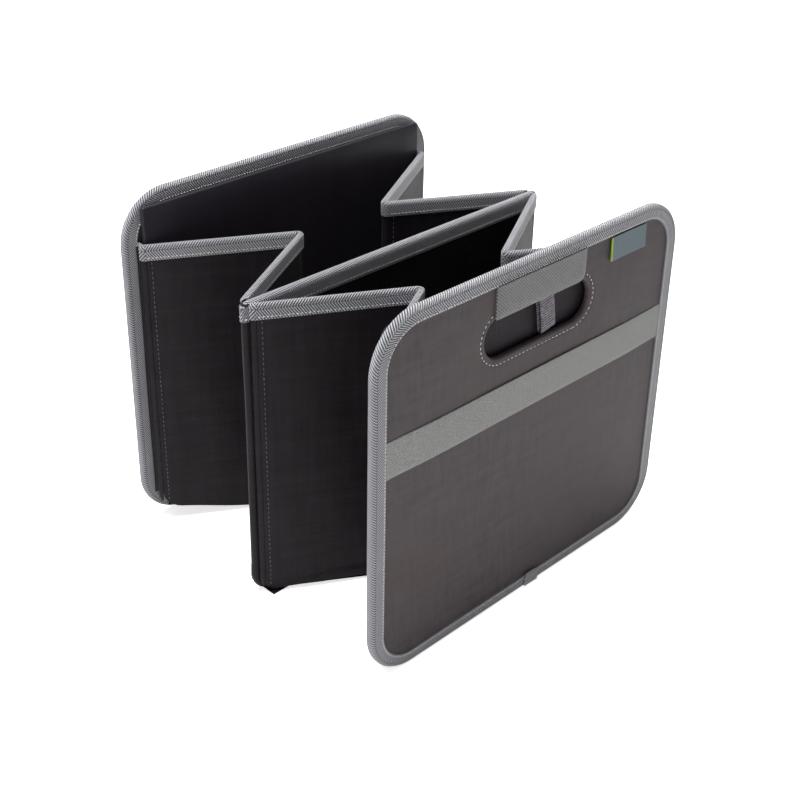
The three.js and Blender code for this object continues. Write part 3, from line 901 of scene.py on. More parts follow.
class STORAGEBOX_OT_boards(bpy.types.Operator):
    """Finish of the stiffening boards, which the cloth hides"""

    bl_idname = "storagebox.boards"
    bl_label = "Boards"

    def execute(self, context):
        for name, node in frame["nodes"].items():
            if name.endswith("_board") and not name.endswith(("_outer_wall_board", "_plate_board")):
                node.data.materials.clear()
                node.data.materials.append(material("board"))
        return {"FINISHED"}


# End panels

PANEL_INSET = 1.1 * MM
PANEL_RADIUS = 40 * MM
HOLE_MIDDLE = (0.0, HOLE_MIDDLE_Z)
HOLE_CORE = (HOLE_LENGTH - HOLE_HEIGHT) / 2


def hole_distance(x, y):
    """How far a place on the panel is from the edge of the hand hole."""
    dx = max(abs(x - HOLE_MIDDLE[0]) - HOLE_CORE, 0)
    return math.hypot(dx, y - HOLE_MIDDLE[1]) - HOLE_HEIGHT / 2


def hole_outwards(x, y):
    """The direction straight out of the hand hole at a place."""
    dx = max(abs(x - HOLE_MIDDLE[0]) - HOLE_CORE, 0) * math.copysign(1, x - HOLE_MIDDLE[0])
    away = Vector((dx, y - HOLE_MIDDLE[1], 0))
    return away.normalized() if away.length > 0 else Vector((0, 1, 0))


def edge_distance(x, y):
    """How far a place on the panel is from the panel's rounded edge."""
    right, top = PANEL_WIDTH / 2 - PANEL_RADIUS, PANEL_HEIGHT / 2 - PANEL_RADIUS
    dx = abs(x) - right
    dy = abs(y - PANEL_HEIGHT / 2) - top
    outside = math.hypot(max(dx, 0), max(dy, 0)) + min(max(dx, dy), 0)
    return PANEL_RADIUS - outside


def edge_normal(x, y):
    """The direction straight out of the panel's edge nearest to a place."""
    right, top = PANEL_WIDTH / 2 - PANEL_RADIUS, PANEL_HEIGHT / 2 - PANEL_RADIUS
    dx, dy = abs(x) - right, abs(y - PANEL_HEIGHT / 2) - top
    away = Vector((max(dx, 0), max(dy, 0), 0))
    if away.length < 1e-9:
        away = Vector((1, 0, 0)) if dx > dy else Vector((0, 1, 0))
    away.normalize()
    return Vector((math.copysign(away.x, x), math.copysign(away.y, y - PANEL_HEIGHT / 2), 0))


def tape_draw(x, y):
    """How far the tape's inner edge is drawn out towards the panel's edge, most along the foot."""
    outwards = edge_normal(x, y)
    return outwards * (2.6 * MM * max(0.0, -outwards.y) + 0.8 * MM * max(0.0, outwards.y))


def ease(value, low, high):
    """Goes smoothly from 0 to 1 as a value goes from low to high."""
    t = min(max((value - low) / (high - low), 0), 1)
    return t * t * (3 - 2 * t)


def make_panel_skin(end, kind, seed):
    """The cloth on one face of an end panel, with a lip that turns in through the hand hole."""
    look = settings()
    outer = kind == "cover"
    bm = new_cloth_mesh()
    width, height = PANEL_WIDTH - 2 * PANEL_INSET, PANEL_HEIGHT - 2 * PANEL_INSET
    middle = (0.0, PANEL_HEIGHT / 2)
    hole_gap = 0.0 if outer else 1.1 * MM
    add_rounded_outline(bm, width, height, [PANEL_RADIUS - PANEL_INSET] * 4, middle, 12)
    radius = HOLE_HEIGHT / 2 + hole_gap - 0.01 * MM
    hole_width, hole_height = HOLE_LENGTH + 2 * hole_gap, HOLE_HEIGHT + 2 * hole_gap
    add_rounded_outline(bm, hole_width, hole_height, [radius] * 4, HOLE_MIDDLE, 12)
    bmesh.ops.delete(bm, geom=bm.faces[:], context="FACES_ONLY")
    bmesh.ops.triangle_fill(bm, use_beauty=True, use_dissolve=False, edges=bm.edges[:])
    face_along(bm)
    grid_cut(bm, 7 * MM, 7 * MM)
    ring_cut(bm)
    rim = [edge for edge in bm.edges if edge.is_boundary
           and all(abs(hole_distance(v.co.x, v.co.y)) < hole_gap + 0.4 * MM for v in edge.verts)]
    label(bm, flat_measure)
    face_height = PANEL_COVERED / 2
    for vert in bm.verts:
        x, y = vert.co.x, vert.co.y
        inside = ease(edge_distance(x, y), 8 * MM, 60 * MM) * ease(hole_distance(x, y), 0, 30 * MM)
        ripple = noise.noise(Vector((x * 9, y * 6, seed))) * 0.35 * MM * inside
        from_hole = hole_distance(x, y)
        roll = -0.5 * MM * (1 - ease(from_hole, 0, 1.6 * MM))
        quilting = -0.4 * MM * math.exp(-((from_hole - 3.8 * MM) / (1.0 * MM)) ** 2)
        vert.co.z = face_height + look.panel_crown * inside + ripple + roll + quilting
    if outer:
        turn_in_lip(bm, rim)
    thicken(bm, 0.55 * MM)
    place = panel_place(end)
    if not outer:
        place = place @ Matrix.Diagonal((1, 1, -1, 1))
    node = f"{end}_panel_cover" if outer else f"{end}_panel_lining"
    name = f"{end}_panel_face" if outer else f"{end}_panel_back"
    piece = finish_piece(name, bm, place, "panel", f"{end}_panel", [node])
    smooth_by_angle(piece, 50)


def ring_cut(bm):
    """Finer cells round the hand hole, for the hem that is sewn down there."""
    reach = HOLE_HEIGHT / 2 + 9 * MM
    near = [f for f in bm.faces if abs(f.calc_center_median().x - HOLE_MIDDLE[0]) < HOLE_CORE + reach
            and abs(f.calc_center_median().y - HOLE_MIDDLE[1]) < reach]
    edges = list({edge for face in near for edge in face.edges if not edge.is_boundary})
    bmesh.ops.subdivide_edges(bm, edges=edges, cuts=3, use_grid_fill=True)
    bmesh.ops.triangulate(bm, faces=[f for f in bm.faces if len(f.verts) > 4])


def turn_in_lip(bm, rim):
    """Rolls the cloth's edge round the hand hole and through it."""
    depth = PANEL_COVERED - 0.9 * MM
    steps = ((0.5 * MM, 0.35 * MM), (0.5 * MM, 0.9 * MM), (0.0, depth - 1.25 * MM))
    edges = rim
    for inwards, down in steps:
        verts, edges = extrude_row(bm, edges)
        for vert in verts:
            vert.co -= hole_outwards(vert.co.x, vert.co.y) * inwards
            vert.co.z -= down


class STORAGEBOX_OT_end_panels(bpy.types.Operator):
    """Cloth on both faces of the end panels, sewn round the hand hole"""

    bl_idname = "storagebox.end_panels"
    bl_label = "End Panels"

    def execute(self, context):
        for seed, (end, _) in enumerate(ENDS):
            make_panel_skin(end, "cover", seed + 1.5)
            make_panel_skin(end, "lining", seed + 4.5)
            self.sew_hand_hole(end)
        return {"FINISHED"}

    @staticmethod
    def sew_hand_hole(end):
        margin = 3.8 * MM
        width, height = HOLE_LENGTH + 2 * margin, HOLE_HEIGHT + 2 * margin
        loop = rounded_loop(width, height, height / 2 - 0.01 * MM, HOLE_MIDDLE)
        place = panel_place(end)
        facing = (place.to_3x3() @ Vector((0, 0, 1))).normalized()
        lift = Matrix.Translation((0, 0, PANEL_COVERED / 2 - 0.05 * MM))
        rows = []
        run = []
        for point in loop:
            if abs(point.x) < WRAP_X + 1 * MM and point.y > HOLE_MIDDLE_Z:
                if len(run) > 1:
                    rows.append((placed(run, place @ lift), facing))
                run = []
            else:
                run.append(point)
        if len(run) > 1:
            rows.append((placed(run, place @ lift), facing))
        stitch_rows(f"{end}_hand_hole_stitches", rows, f"{end}_panel", "thread",
                    2.6 * MM, 0.7 * MM, 1.3 * MM)


# Binding tape

def folded_profile(half, reach, thickness, rounding, pinch=0.0, steps=4):
    """A closed profile of tape folded over an edge, as (across the board, up), open downwards.

    Returns its points and how far across the tape each one lies."""
    outer = [Vector((half - pinch, -reach, 0))]
    outer.append(Vector((half, -reach + 2.2 * MM, 0)))
    outer.append(Vector((half, -reach / 2, 0)))
    corner = Vector((half - rounding, -rounding, 0))
    for i in range(steps + 1):
        angle = math.pi / 2 * i / steps
        outer.append(corner + Vector((rounding * math.cos(angle), rounding * math.sin(angle), 0)))
    outer += [Vector((-p.x, p.y, 0)) for p in reversed(outer)]
    inner = [Vector((half - pinch - thickness, -reach, 0)), Vector((half - thickness, -thickness, 0))]
    inner = [Vector((-p.x, p.y, 0)) for p in inner] + inner[::-1]
    distance = distances(outer)
    middle = distance[-1] / 2
    across = [d - middle for d in distance]
    across += [across[-1], half - thickness, thickness - half, across[0]]
    return outer + inner, across


def make_edge_tape(end, seed):
    """Tape folded over the whole edge of an end panel, from the middle of its foot round and back."""
    look = settings()
    profile, across = folded_profile(PANEL_TAPED / 2, look.tape_reach, look.tape_thickness,
                                     2.4 * MM, 0.25 * MM)
    start_x = 4 * MM
    points = [Vector((start_x, -p.y, p.x)) for p in profile]
    sweep = Sweep(points, across)
    right, top = PANEL_WIDTH / 2 - PANEL_RADIUS, PANEL_HEIGHT - PANEL_RADIUS
    upwards = Vector((0, 0, 1))
    corner_steps, run_steps = 16, 44
    quarter = math.pi / 2
    mean = PANEL_RADIUS - 4 * MM
    sweep.straight(Vector((right - start_x, 0, 0)), run_steps // 2)
    sweep.turn(Vector((right, PANEL_RADIUS, 0)), upwards, quarter, mean, corner_steps)
    sweep.straight(Vector((0, top - PANEL_RADIUS, 0)), run_steps)
    sweep.turn(Vector((right, top, 0)), upwards, quarter, mean, corner_steps)
    sweep.straight(Vector((-2 * right, 0, 0)), run_steps)
    sweep.turn(Vector((-right, top, 0)), upwards, quarter, mean, corner_steps)
    sweep.straight(Vector((0, PANEL_RADIUS - top, 0)), run_steps)
    sweep.turn(Vector((-right, PANEL_RADIUS, 0)), upwards, quarter, mean, corner_steps)
    sweep.straight(Vector((right + start_x, 0, 0)), run_steps // 2)
    bm = sweep.close()
    along = bm.verts.layers.float["along"]
    for vert in bm.verts:
        depth = edge_distance(vert.co.x, vert.co.y)
        pucker = math.sin(vert[along] * MM * 2 * math.pi / (3.4 * MM)) * 0.10 * MM
        drift = noise.noise(Vector((vert.co.x * 22, vert.co.y * 22, seed))) * 0.28 * MM
        hug = ease(depth, 9 * MM, 14 * MM)
        vert.co.z += math.copysign(1, vert.co.z) * (pucker * hug - 0.1 * MM * hug)
        if depth > look.tape_reach - 3 * MM:
            vert.co += tape_draw(vert.co.x, vert.co.y) - edge_normal(vert.co.x, vert.co.y) * drift
    piece = finish_piece(f"{end}_edge_binding", bm, panel_place(end), "tape", f"{end}_panel",
                         [f"{end}_edge_tape"])
    smooth_by_angle(piece, 50)


def make_tape_end(end):
    """The folded-under end of the edge tape, at the middle of the panel's foot."""
    look = settings()
    bm = new_cloth_mesh()
    middle = (10 * MM, look.tape_reach / 2 + 0.6 * MM)
    add_rounded_outline(bm, 15 * MM, look.tape_reach - 1.4 * MM, [1 * MM] * 4, middle, 3)
    grid_cut(bm, 3 * MM, 3 * MM)
    label(bm, lambda p: (p.x, p.y * 0.9 + 7 * MM))
    for vert in bm.verts:
        vert.co.z += 0.5 * MM * (1 - ease(vert.co.x, 2.5 * MM, 6 * MM))
    thicken(bm, 1.1 * MM)
    lift = Matrix.Translation((0, 0, PANEL_TAPED / 2 + 1.0 * MM)) @ Matrix.Rotation(math.radians(-3), 4, "Z")
    place = panel_place(end) @ lift
    piece = finish_piece(f"{end}_tape_end", bm, place, "tape", f"{end}_panel")
    smooth_by_angle(piece, 50)


def sew_edge_tape(end):
    """The stitch row along the tape's inner edge, on both faces of the panel."""
    look = settings()
    inset = look.tape_reach - 1.3 * MM
    loop = rounded_loop(PANEL_WIDTH - 2 * inset, PANEL_HEIGHT - 2 * inset, PANEL_RADIUS - inset,
                        (0.0, PANEL_HEIGHT / 2))
    place = panel_place(end)
    facing = (place.to_3x3() @ Vector((0, 0, 1))).normalized()
    dense = []
    for a, b in zip(loop, loop[1:]):
        count = max(1, round((b - a).length / (8 * MM)))
        dense += [a + (b - a) * i / count for i in range(count)]
    loop = [p + tape_draw(p.x, p.y) for p in dense + dense[:1]]
    rows = []
    for sign in (1, -1):
        lift = Matrix.Translation((0, 0, sign * (PANEL_TAPED / 2 + 0.02 * MM)))
        rows.append((placed(loop, place @ lift), facing * sign))
    stitch_rows(f"{end}_edge_stitches", rows, f"{end}_panel", "thread",
                1.9 * MM, 0.85 * MM, 0.8 * MM)


class STORAGEBOX_OT_edge_tapes(bpy.types.Operator):
    """Herringbone tape bound and sewn round the end panels"""

    bl_idname = "storagebox.edge_tapes"
    bl_label = "Edge Tapes"

    def execute(self, context):
        for seed, (end, _) in enumerate(ENDS):
            make_edge_tape(end, seed * 3.7)
            make_tape_end(end)
            sew_edge_tape(end)
        return {"FINISHED"}


# Handles

def make_wrap(end):
    """The padded wrap over the grip: a soft pad in front, turned through the hole and up behind."""
    place = panel_place(end)
    inner = PANEL_COVERED / 2 + 0.3 * MM
    front = WRAP_OUTER_Y - PANEL_Y
    back = PANEL_Y - WRAP_INNER_Y
    bm = new_cloth_mesh()
    under_tape = 1.6 * MM
    height = WRAP_TOP + under_tape - WRAP_FOOT
    middle = (0.0, WRAP_FOOT + height / 2)
    add_rounded_outline(bm, 2 * WRAP_X, height, [1.5 * MM, 7 * MM, 0, 0], middle, 6)
    grid_cut(bm, 2.5 * MM, 2.5 * MM)
    face_along(bm)
    label(bm, flat_measure)
    for vert in bm.verts:
        side = min(WRAP_X - abs(vert.co.x), 6 * MM)
        foot = min(vert.co.y - WRAP_FOOT, 6 * MM)
        puff = ease(side, -0.5 * MM, 4 * MM) * ease(foot, -0.5 * MM, 4.5 * MM)
        dent = noise.noise(Vector((vert.co.x * 40, vert.co.y * 40, 2.2))) * 0.22 * MM
        vert.co.z = inner + (front - inner) * (0.45 + 0.62 * puff) + dent * puff
    thicken(bm, front - inner - 0.9 * MM)
    pad = finish_piece(f"{end}_handle_pad", bm, place, "wrap", f"{end}_panel",
                       [f"{end}_handle_wrap"])
    smooth_by_angle(pad, 60)

    grip_top = HOLE_MIDDLE_Z + HOLE_HEIGHT / 2 - 0.3 * MM
    foot = WRAP_FOOT + 0.05 * MM
    rise = grip_top + 16.5 * MM
    soft = 1.6 * MM
    outline = [Vector((0, rise, -inner)), Vector((0, rise + 0.4 * MM, -inner - 0.5 * MM)),
               Vector((0, rise, -back))]
    for i in range(5):
        angle = math.pi / 2 * i / 4
        outline.append(Vector((0, foot + soft - soft * math.sin(angle),
                               -back + soft - soft * math.cos(angle))))
    for i in range(5):
        angle = math.pi / 2 * i / 4
        outline.append(Vector((0, foot + soft - soft * math.cos(angle),
                               front - 1 * MM - soft + soft * math.sin(angle))))
    outline += [Vector((0, grip_top + 4 * MM, front - 1 * MM)), Vector((0, grip_top + 4 * MM, inner)),
                Vector((0, grip_top, inner)), Vector((0, grip_top, -inner))]
    half = 37 * MM
    sweep = Sweep([p - Vector((half, 0, 0)) for p in outline], distances(outline))
    sweep.straight(Vector((2 * half, 0, 0)), 20)
    turn = finish_piece(f"{end}_handle_turn", sweep.close(), place, "wrap", f"{end}_panel")
    smooth_by_angle(turn, 55)


def make_pull_loop(end):
    """A loop of webbing on the floor plate, hanging in the hand hole."""
    place = panel_place(end)
    middle = Vector(((LOOP_LOW.x + LOOP_HIGH.x) / 2, (LOOP_LOW.z + LOOP_HIGH.z) / 2, 0))
    width, webbing = 15 * MM, 1.2 * MM
    back = PLATE_OUTER_Y - PANEL_Y + 0.3 * MM
    gap = 2.3 * MM
    low = middle.y - 11 * MM
    high = WRAP_FOOT + 3 * MM
    depth = webbing + gap / 2
    centre = back + webbing + gap / 2
    radius = depth
    half = width / 2
    lens = [(-half, 0), (-half + 1 * MM, webbing / 2), (half - 1 * MM, webbing / 2), (half, 0),
            (half - 1 * MM, -webbing / 2), (-half + 1 * MM, -webbing / 2)]
    offset = centre + depth - webbing / 2
    points = [Vector((x, high, offset + z)) for x, z in lens]
    across = [x for x, z in lens]
    sweep = Sweep(points, across)
    sweep.straight(Vector((0, low - high, 0)), 14)
    sweep.turn(Vector((0, low, centre)), Vector((1, 0, 0)), math.pi, radius * 1.3, 8)
    sweep.straight(Vector((0, high - low, 0)), 14)
    bm = sweep.close()
    for vert in bm.verts:
        drop = ease(high - vert.co.y, 0, high - low)
        vert.co.x += math.sin(drop * 2.5) * 0.5 * MM
    lean = Matrix.Translation((middle.x, high, 0)) @ Matrix.Rotation(math.radians(9), 4, "Z") \
        @ Matrix.Translation((0, -high, 0))
    piece = finish_piece(f"{end}_webbing_loop", bm, place @ lean, "webbing", f"{end}_panel",
                         [f"{end}_pull_loop"])
    smooth_by_angle(piece, 50)


class STORAGEBOX_OT_handles(bpy.types.Operator):
    """Padded wraps over the grips, and the webbing loops below them"""

    bl_idname = "storagebox.handles"
    bl_label = "Handles"

    def execute(self, context):
        for end, _ in ENDS:
            make_wrap(end)
            make_pull_loop(end)
        return {"FINISHED"}


# Elastic band and tag

class STORAGEBOX_OT_band_and_tag(bpy.types.Operator):
    """The elastic band and the plain tag on the front panel"""

    bl_idname = "storagebox.band_and_tag"
    bl_label = "Band and Tag"

    def execute(self, context):
        self.make_band()
        self.make_tag()
        return {"FINISHED"}

    @staticmethod
    def make_band():
        place = panel_place("front")
        bm = new_cloth_mesh()
        height = BAND_TOP - BAND_FOOT
        reach = BAND_X + 1 * MM
        add_rounded_outline(bm, 2 * reach, height, [0, 0, 0, 0], (0.0, (BAND_TOP + BAND_FOOT) / 2))
        grid_cut(bm, 6 * MM, 2 * MM)
        face_along(bm)
        label(bm, flat_measure)
        for vert in bm.verts:
            inside = ease(edge_distance(vert.co.x, vert.co.y), 12 * MM, 60 * MM)
            selvedge = ease(height / 2 - abs(vert.co.y - (BAND_TOP + BAND_FOOT) / 2), 0, 2 * MM)
            bow = noise.noise(Vector((vert.co.x * 12, 0.3, 0.7))) * 0.6 * MM
            if selvedge == 0:
                vert.co.y += bow * 0.5
            vert.co.z = PANEL_COVERED / 2 + 0.45 * MM + (settings().panel_crown + 0.4 * MM) * inside \
                + 0.35 * MM * selvedge
        thicken(bm, 0.7 * MM)
        band = finish_piece("front_band", bm, place, "elastic", "front_panel",
                            ["front_elastic_band"])
        smooth_by_angle(band, 50)

    @staticmethod
    def make_tag():
        place = panel_place("front")
        bm = new_cloth_mesh()
        width, height = TAG_HIGH.x - TAG_LOW.x, TAG_HIGH.z - TAG_LOW.z
        middle = ((TAG_HIGH.x + TAG_LOW.x) / 2, (TAG_HIGH.z + TAG_LOW.z) / 2)
        add_rounded_outline(bm, width, height, [0.8 * MM] * 4, middle, 3)
        grid_cut(bm, 2 * MM, 2 * MM)
        face_along(bm)
        label(bm, lambda p: (p.x - TAG_LOW.x, p.y - TAG_LOW.z))
        for vert in bm.verts:
            lift = ease(TAG_HIGH.z - vert.co.y, 0, height)
            curl = math.sin((vert.co.x - TAG_LOW.x) / width * math.pi) * 0.3 * MM
            vert.co.z = PANEL_COVERED / 2 + 1.5 * MM + lift * 0.7 * MM - curl
        thicken(bm, 0.9 * MM)
        tag = finish_piece("front_plain_tag", bm, place, "tag", "front_panel", ["front_tag"])
        smooth_by_angle(tag, 50)


# Floor plates

def make_floor_plate(end, seed):
    """A satin-covered plate, folded up inside its end panel."""
    look = settings()
    place = panel_place(end)
    height = PLATE_TOP - PLATE_FOOT
    face_in = PANEL_Y - PLATE_INNER_Y
    face_out = PANEL_Y - PLATE_OUTER_Y
    bm = new_cloth_mesh()
    top_radius = 9 * MM if end == "front" else 2 * MM
    radii = [2 * MM, 2 * MM, top_radius, top_radius]
    add_rounded_outline(bm, 2 * PLATE_X, height, radii, (0.0, (PLATE_TOP + PLATE_FOOT) / 2), 4)
    grid_cut(bm, 5 * MM, 12 * MM)
    face_along(bm, -1)
    label(bm, flat_measure)
    for vert in bm.verts:
        vert.co.z = -face_in
    add_second_face(bm, face_in - face_out)
    rims = [edge for edge in bm.edges if edge.calc_face_angle(0) > 1.0
            and (abs(edge.verts[0].co.z + face_in) < 1e-6) == (abs(edge.verts[1].co.z + face_in) < 1e-6)]
    bmesh.ops.bevel(bm, geom=rims, offset=1.1 * MM, offset_type="OFFSET", affect="EDGES", segments=3,
                    profile=0.5, material=-1)
    for face in bm.faces:
        if face.normal.z > 0.9:
            face.material_index = 1
    for vert in bm.verts:
        x, y = vert.co.x, vert.co.y
        inset = min(PLATE_X - abs(x), PLATE_TOP - y, y - PLATE_FOOT)
        if vert.co.z < -(face_in + face_out) / 2 and inset > 0.5 * MM:
            fold = noise.noise(Vector((x * 24, y * 3.2, seed))) * 1.5
            fold += 0.4 * noise.noise(Vector((x * 60, y * 5, seed)))
            fold = min(max(fold, -1.0), 1.0)
            hem = ease(inset, 2 * MM, 14 * MM)
            above_walls = ease(y, 190 * MM, 250 * MM)
            vert.co.z += look.plate_wrinkle * hem * (0.5 - above_walls + (0.5 + 0.7 * above_walls) * fold)
            vert.co.z += 0.3 * MM * math.exp(-((PLATE_X - abs(x) - 6 * MM) / (1.0 * MM)) ** 2) * (1 - hem)
    piece = finish_piece(f"{end}_floor_plate", bm, place, "plate", f"{end}_panel",
                         [f"{end}_floor_plate_cover"])
    piece.data.materials.append(material("wall"))
    smooth_by_angle(piece, 50)
    make_plate_board(end, radii, (face_in + face_out) / 2)
    make_plate_hinge(end, face_out)


def make_plate_board(end, radii, depth):
    """The stiffening board inside a floor plate's cloth."""
    inset = 2 * MM
    height = PLATE_TOP - PLATE_FOOT - 2 * inset
    bm = new_cloth_mesh()
    radii = [max(radius - inset, 0.5 * MM) for radius in radii]
    middle = (0.0, (PLATE_TOP + PLATE_FOOT) / 2)
    add_rounded_outline(bm, 2 * (PLATE_X - inset), height, radii, middle, 4)
    face_along(bm)
    thickness = 1.2 * MM
    thicken(bm, thickness)
    place = panel_place(end) @ Matrix.Translation((0, 0, thickness / 2 - depth))
    board = finish_piece(f"{end}_plate_stiffener", bm, place, "board", f"{end}_panel",
                         [f"{end}_floor_plate_board"])
    smooth_by_angle(board, 40)


def make_plate_hinge(end, face_out):
    """The strip of cloth that hangs the floor plate from the foot of its end panel."""
    bm = new_cloth_mesh()
    top, foot = PLATE_FOOT + 3 * MM, 6 * MM
    add_rounded_outline(bm, 2 * (PLATE_X - 6 * MM), top - foot, [0] * 4, (0.0, (top + foot) / 2))
    grid_cut(bm, 10 * MM, 3 * MM)
    face_along(bm, -1)
    label(bm, flat_measure)
    for vert in bm.verts:
        slack = math.sin(math.pi * (vert.co.y - foot) / (top - foot))
        sway = noise.noise(Vector((vert.co.x * 25, 0, 3)))
        vert.co.z = -face_out - 0.5 * MM - slack * (0.9 + 0.6 * sway) * MM
    thicken(bm, 0.5 * MM)
    hinge = finish_piece(f"{end}_plate_hinge", bm, panel_place(end), "wall", f"{end}_panel")
    smooth_by_angle(hinge, 60)


class STORAGEBOX_OT_floor_plates(bpy.types.Operator):
    """Satin-covered floor plates, folded up against the end panels"""

    bl_idname = "storagebox.floor_plates"
    bl_label = "Floor Plates"

    def execute(self, context):
        for seed, (end, _) in enumerate(ENDS):
            make_floor_plate(end, 5.1 + seed)
        return {"FINISHED"}


# Divider

FIN_FOOT_RADIUS = 15 * MM


def divider_outline():
    """The right-hand half of the divider's plan: a board sleeve, a sewn waist and a fin like a tube."""
    waist = CORNER_X - 0.8 * MM
    tube_start = waist + 0.9 * MM
    tube_half = 3.1 * MM
    tube_middle = DIVIDER_X - tube_half
    flank = [(0.0, DIVIDER_HALF), (60 * MM, DIVIDER_HALF), (112 * MM, DIVIDER_HALF),
             (waist - 7 * MM, DIVIDER_HALF), (waist - 3 * MM, DIVIDER_HALF - 0.1 * MM),
             (waist - 0.8 * MM, 1.5 * MM), (waist, 1.2 * MM), (tube_start, 1.6 * MM),
             (tube_start + 0.9 * MM, tube_half - 0.25 * MM)]
    for i in range(9):
        angle = math.pi / 2 * (1 - i / 8)
        flank.append((tube_middle + tube_half * math.cos(angle), tube_half * math.sin(angle)))
    return flank


class STORAGEBOX_OT_divider(bpy.types.Operator):
    """The divider's sleeve with its sewn fins and its cap of tape"""

    bl_idname = "storagebox.divider"
    bl_label = "Divider"

    def execute(self, context):
        self.make_sleeve()
        self.make_cap()
        self.sew_fins()
        return {"FINISHED"}

    @staticmethod
    def make_sleeve():
        quarter = divider_outline()
        right = quarter + [(x, -y) for x, y in reversed(quarter[:-1])]
        left = [(-x, y) for x, y in reversed(right[1:-1])]
        ring = [Vector((x, y, 0)) for x, y in right + left]
        sweep = Sweep(ring, distances(ring))
        sweep.straight(Vector((0, 0, FIN_FOOT_RADIUS)), 8)
        sweep.straight(Vector((0, 0, DIVIDER_TOP - FIN_FOOT_RADIUS)), 34)
        bm = sweep.close()
        for vert in bm.verts:
            side = math.copysign(1, vert.co.x)
            reach = ease(abs(vert.co.x), CORNER_X, DIVIDER_X)
            wave = noise.noise(Vector((side, 0, vert.co.z * 11))) * 0.5 * MM
            bulge = math.exp(-((vert.co.z - FIN_FOOT_RADIUS - 3 * MM) / (4 * MM)) ** 2) * 1.2 * MM
            vert.co.x += side * reach * (wave + bulge)
            vert.co.y += reach * noise.noise(Vector((side, 3, vert.co.z * 16))) * 0.5 * MM
            below = FIN_FOOT_RADIUS - vert.co.z
            if below > 0:
                pull = FIN_FOOT_RADIUS - math.sqrt(max(0.0, FIN_FOOT_RADIUS ** 2 - below ** 2))
                limit = DIVIDER_X + bulge - pull
                if abs(vert.co.x) > limit - 6 * MM:
                    share = min(1.0, (abs(vert.co.x) - limit + 6 * MM) / (6 * MM + pull))
                    vert.co.x = side * (limit - 6 * MM + share * 6 * MM)
        swap_labels(bm)
        piece = finish_piece("divider_sleeve", bm, Matrix.Identity(4), "wall", "divider",
                             ["divider_cover"])
        smooth_by_angle(piece, 50)

    @staticmethod
    def make_cap():
        half, reach = DIVIDER_TAPE_HALF, WALL_TOP - DIVIDER_TAPE_FOOT
        bm = new_cloth_mesh()
        add_rounded_outline(bm, 2 * DIVIDER_TAPE_X, 2 * half, [half - 0.01 * MM] * 4, (0.0, 0.0), 5)
        grid_cut(bm, 6 * MM, 1.6 * MM)
        face_along(bm)
        rounding = 2.2 * MM
        for vert in bm.verts:
            core = DIVIDER_TAPE_X - half
            dx = max(abs(vert.co.x) - core, 0)
            outwards = math.hypot(dx, vert.co.y) / half
            vert.co.z = WALL_TOP - rounding * (1 - math.sqrt(max(0.0, 1 - min(outwards, 1) ** 2)))
        edges = [edge for edge in bm.edges if edge.is_boundary]
        for _ in range(4):
            verts, edges = extrude_row(bm, edges)
            bmesh.ops.translate(bm, vec=(0, 0, -(reach - rounding) / 4), verts=verts)
        bmesh.ops.recalc_face_normals(bm, faces=bm.faces[:])
        label(bm, lambda p: (p.x, p.y + math.copysign(WALL_TOP - p.z, p.y)))
        thicken(bm, 0.7 * MM)
        piece = finish_piece("divider_binding", bm, Matrix.Identity(4), "tape", "divider",
                             ["divider_tape"])
        smooth_by_angle(piece, 50)

    @staticmethod
    def sew_fins():
        rows = []
        seam = CORNER_X + 2.2 * MM
        for _, hand in SIDES:
            for _, facing in ENDS:
                foot = Vector((hand * seam, facing * 3.05 * MM, 14 * MM))
                points = [foot + Vector((0, 0, step * 8 * MM)) for step in range(27)]
                rows.append((points, Vector((0, facing, 0))))
        stitch_rows("divider_stitches", rows, "divider", "dark_thread",
                    3.0 * MM, 0.8 * MM, 1.6 * MM)
        rows = []
        level = DIVIDER_TAPE_FOOT + 2.4 * MM
        face_y = DIVIDER_TAPE_HALF + 0.02 * MM
        for _, facing in ENDS:
            points = [Vector((step * 10 * MM, facing * face_y, level)) for step in range(-15, 16)]
            rows.append((points, Vector((0, facing, 0))))
        stitch_rows("divider_tape_stitches", rows, "divider", "thread",
                    1.9 * MM, 0.8 * MM, 1.0 * MM)


# Walls

UPRIGHT = Matrix(((1, 0, 0, 0), (0, 0, -1, 0), (0, 1, 0, 0), (0, 0, 0, 1)))
WALL_ENDS_GAP = 0.3 * MM
SEAM_INSET = 4.4 * MM
FOOT_RADIUS = 7 * MM
END_FOOT_RADIUS = 14 * MM
END_FOOT_RISE = 9 * MM


def foot_rise(x, y):
    """How far a place low on an outer wall is drawn up, most beside the end panel."""
    return END_FOOT_RISE * (1 - ease(x, 0, 75 * MM)) * (1 - ease(y, WALL_FOOT, WALL_FOOT + 70 * MM))


def make_wall_board(name, place):
    """The stiffening board of an outer wall, whose foot is drawn up like its pocket's."""
    inset = 2.2 * MM
    height = WALL_TOP - 4 * MM - WALL_FOOT - inset
    bm = new_cloth_mesh()
    radii = [END_FOOT_RADIUS - inset, FOOT_RADIUS, 0, 0]
    middle = (WALL_RUN / 2, WALL_FOOT + inset + height / 2)
    add_rounded_outline(bm, WALL_RUN - 2 * (WALL_ENDS_GAP + inset), height, radii, middle, 6)
    grid_cut(bm, 12 * MM, 12 * MM)
    for vert in bm.verts:
        vert.co.y += foot_rise(vert.co.x, vert.co.y)
        vert.co.z = -0.6 * MM
    add_second_face(bm, 1.2 * MM)
    turned = place @ UPRIGHT
    board = finish_piece(f"{name}_stiffener", bm, turned, "board", name, [f"{name}_board"])
    smooth_by_angle(board, 40)


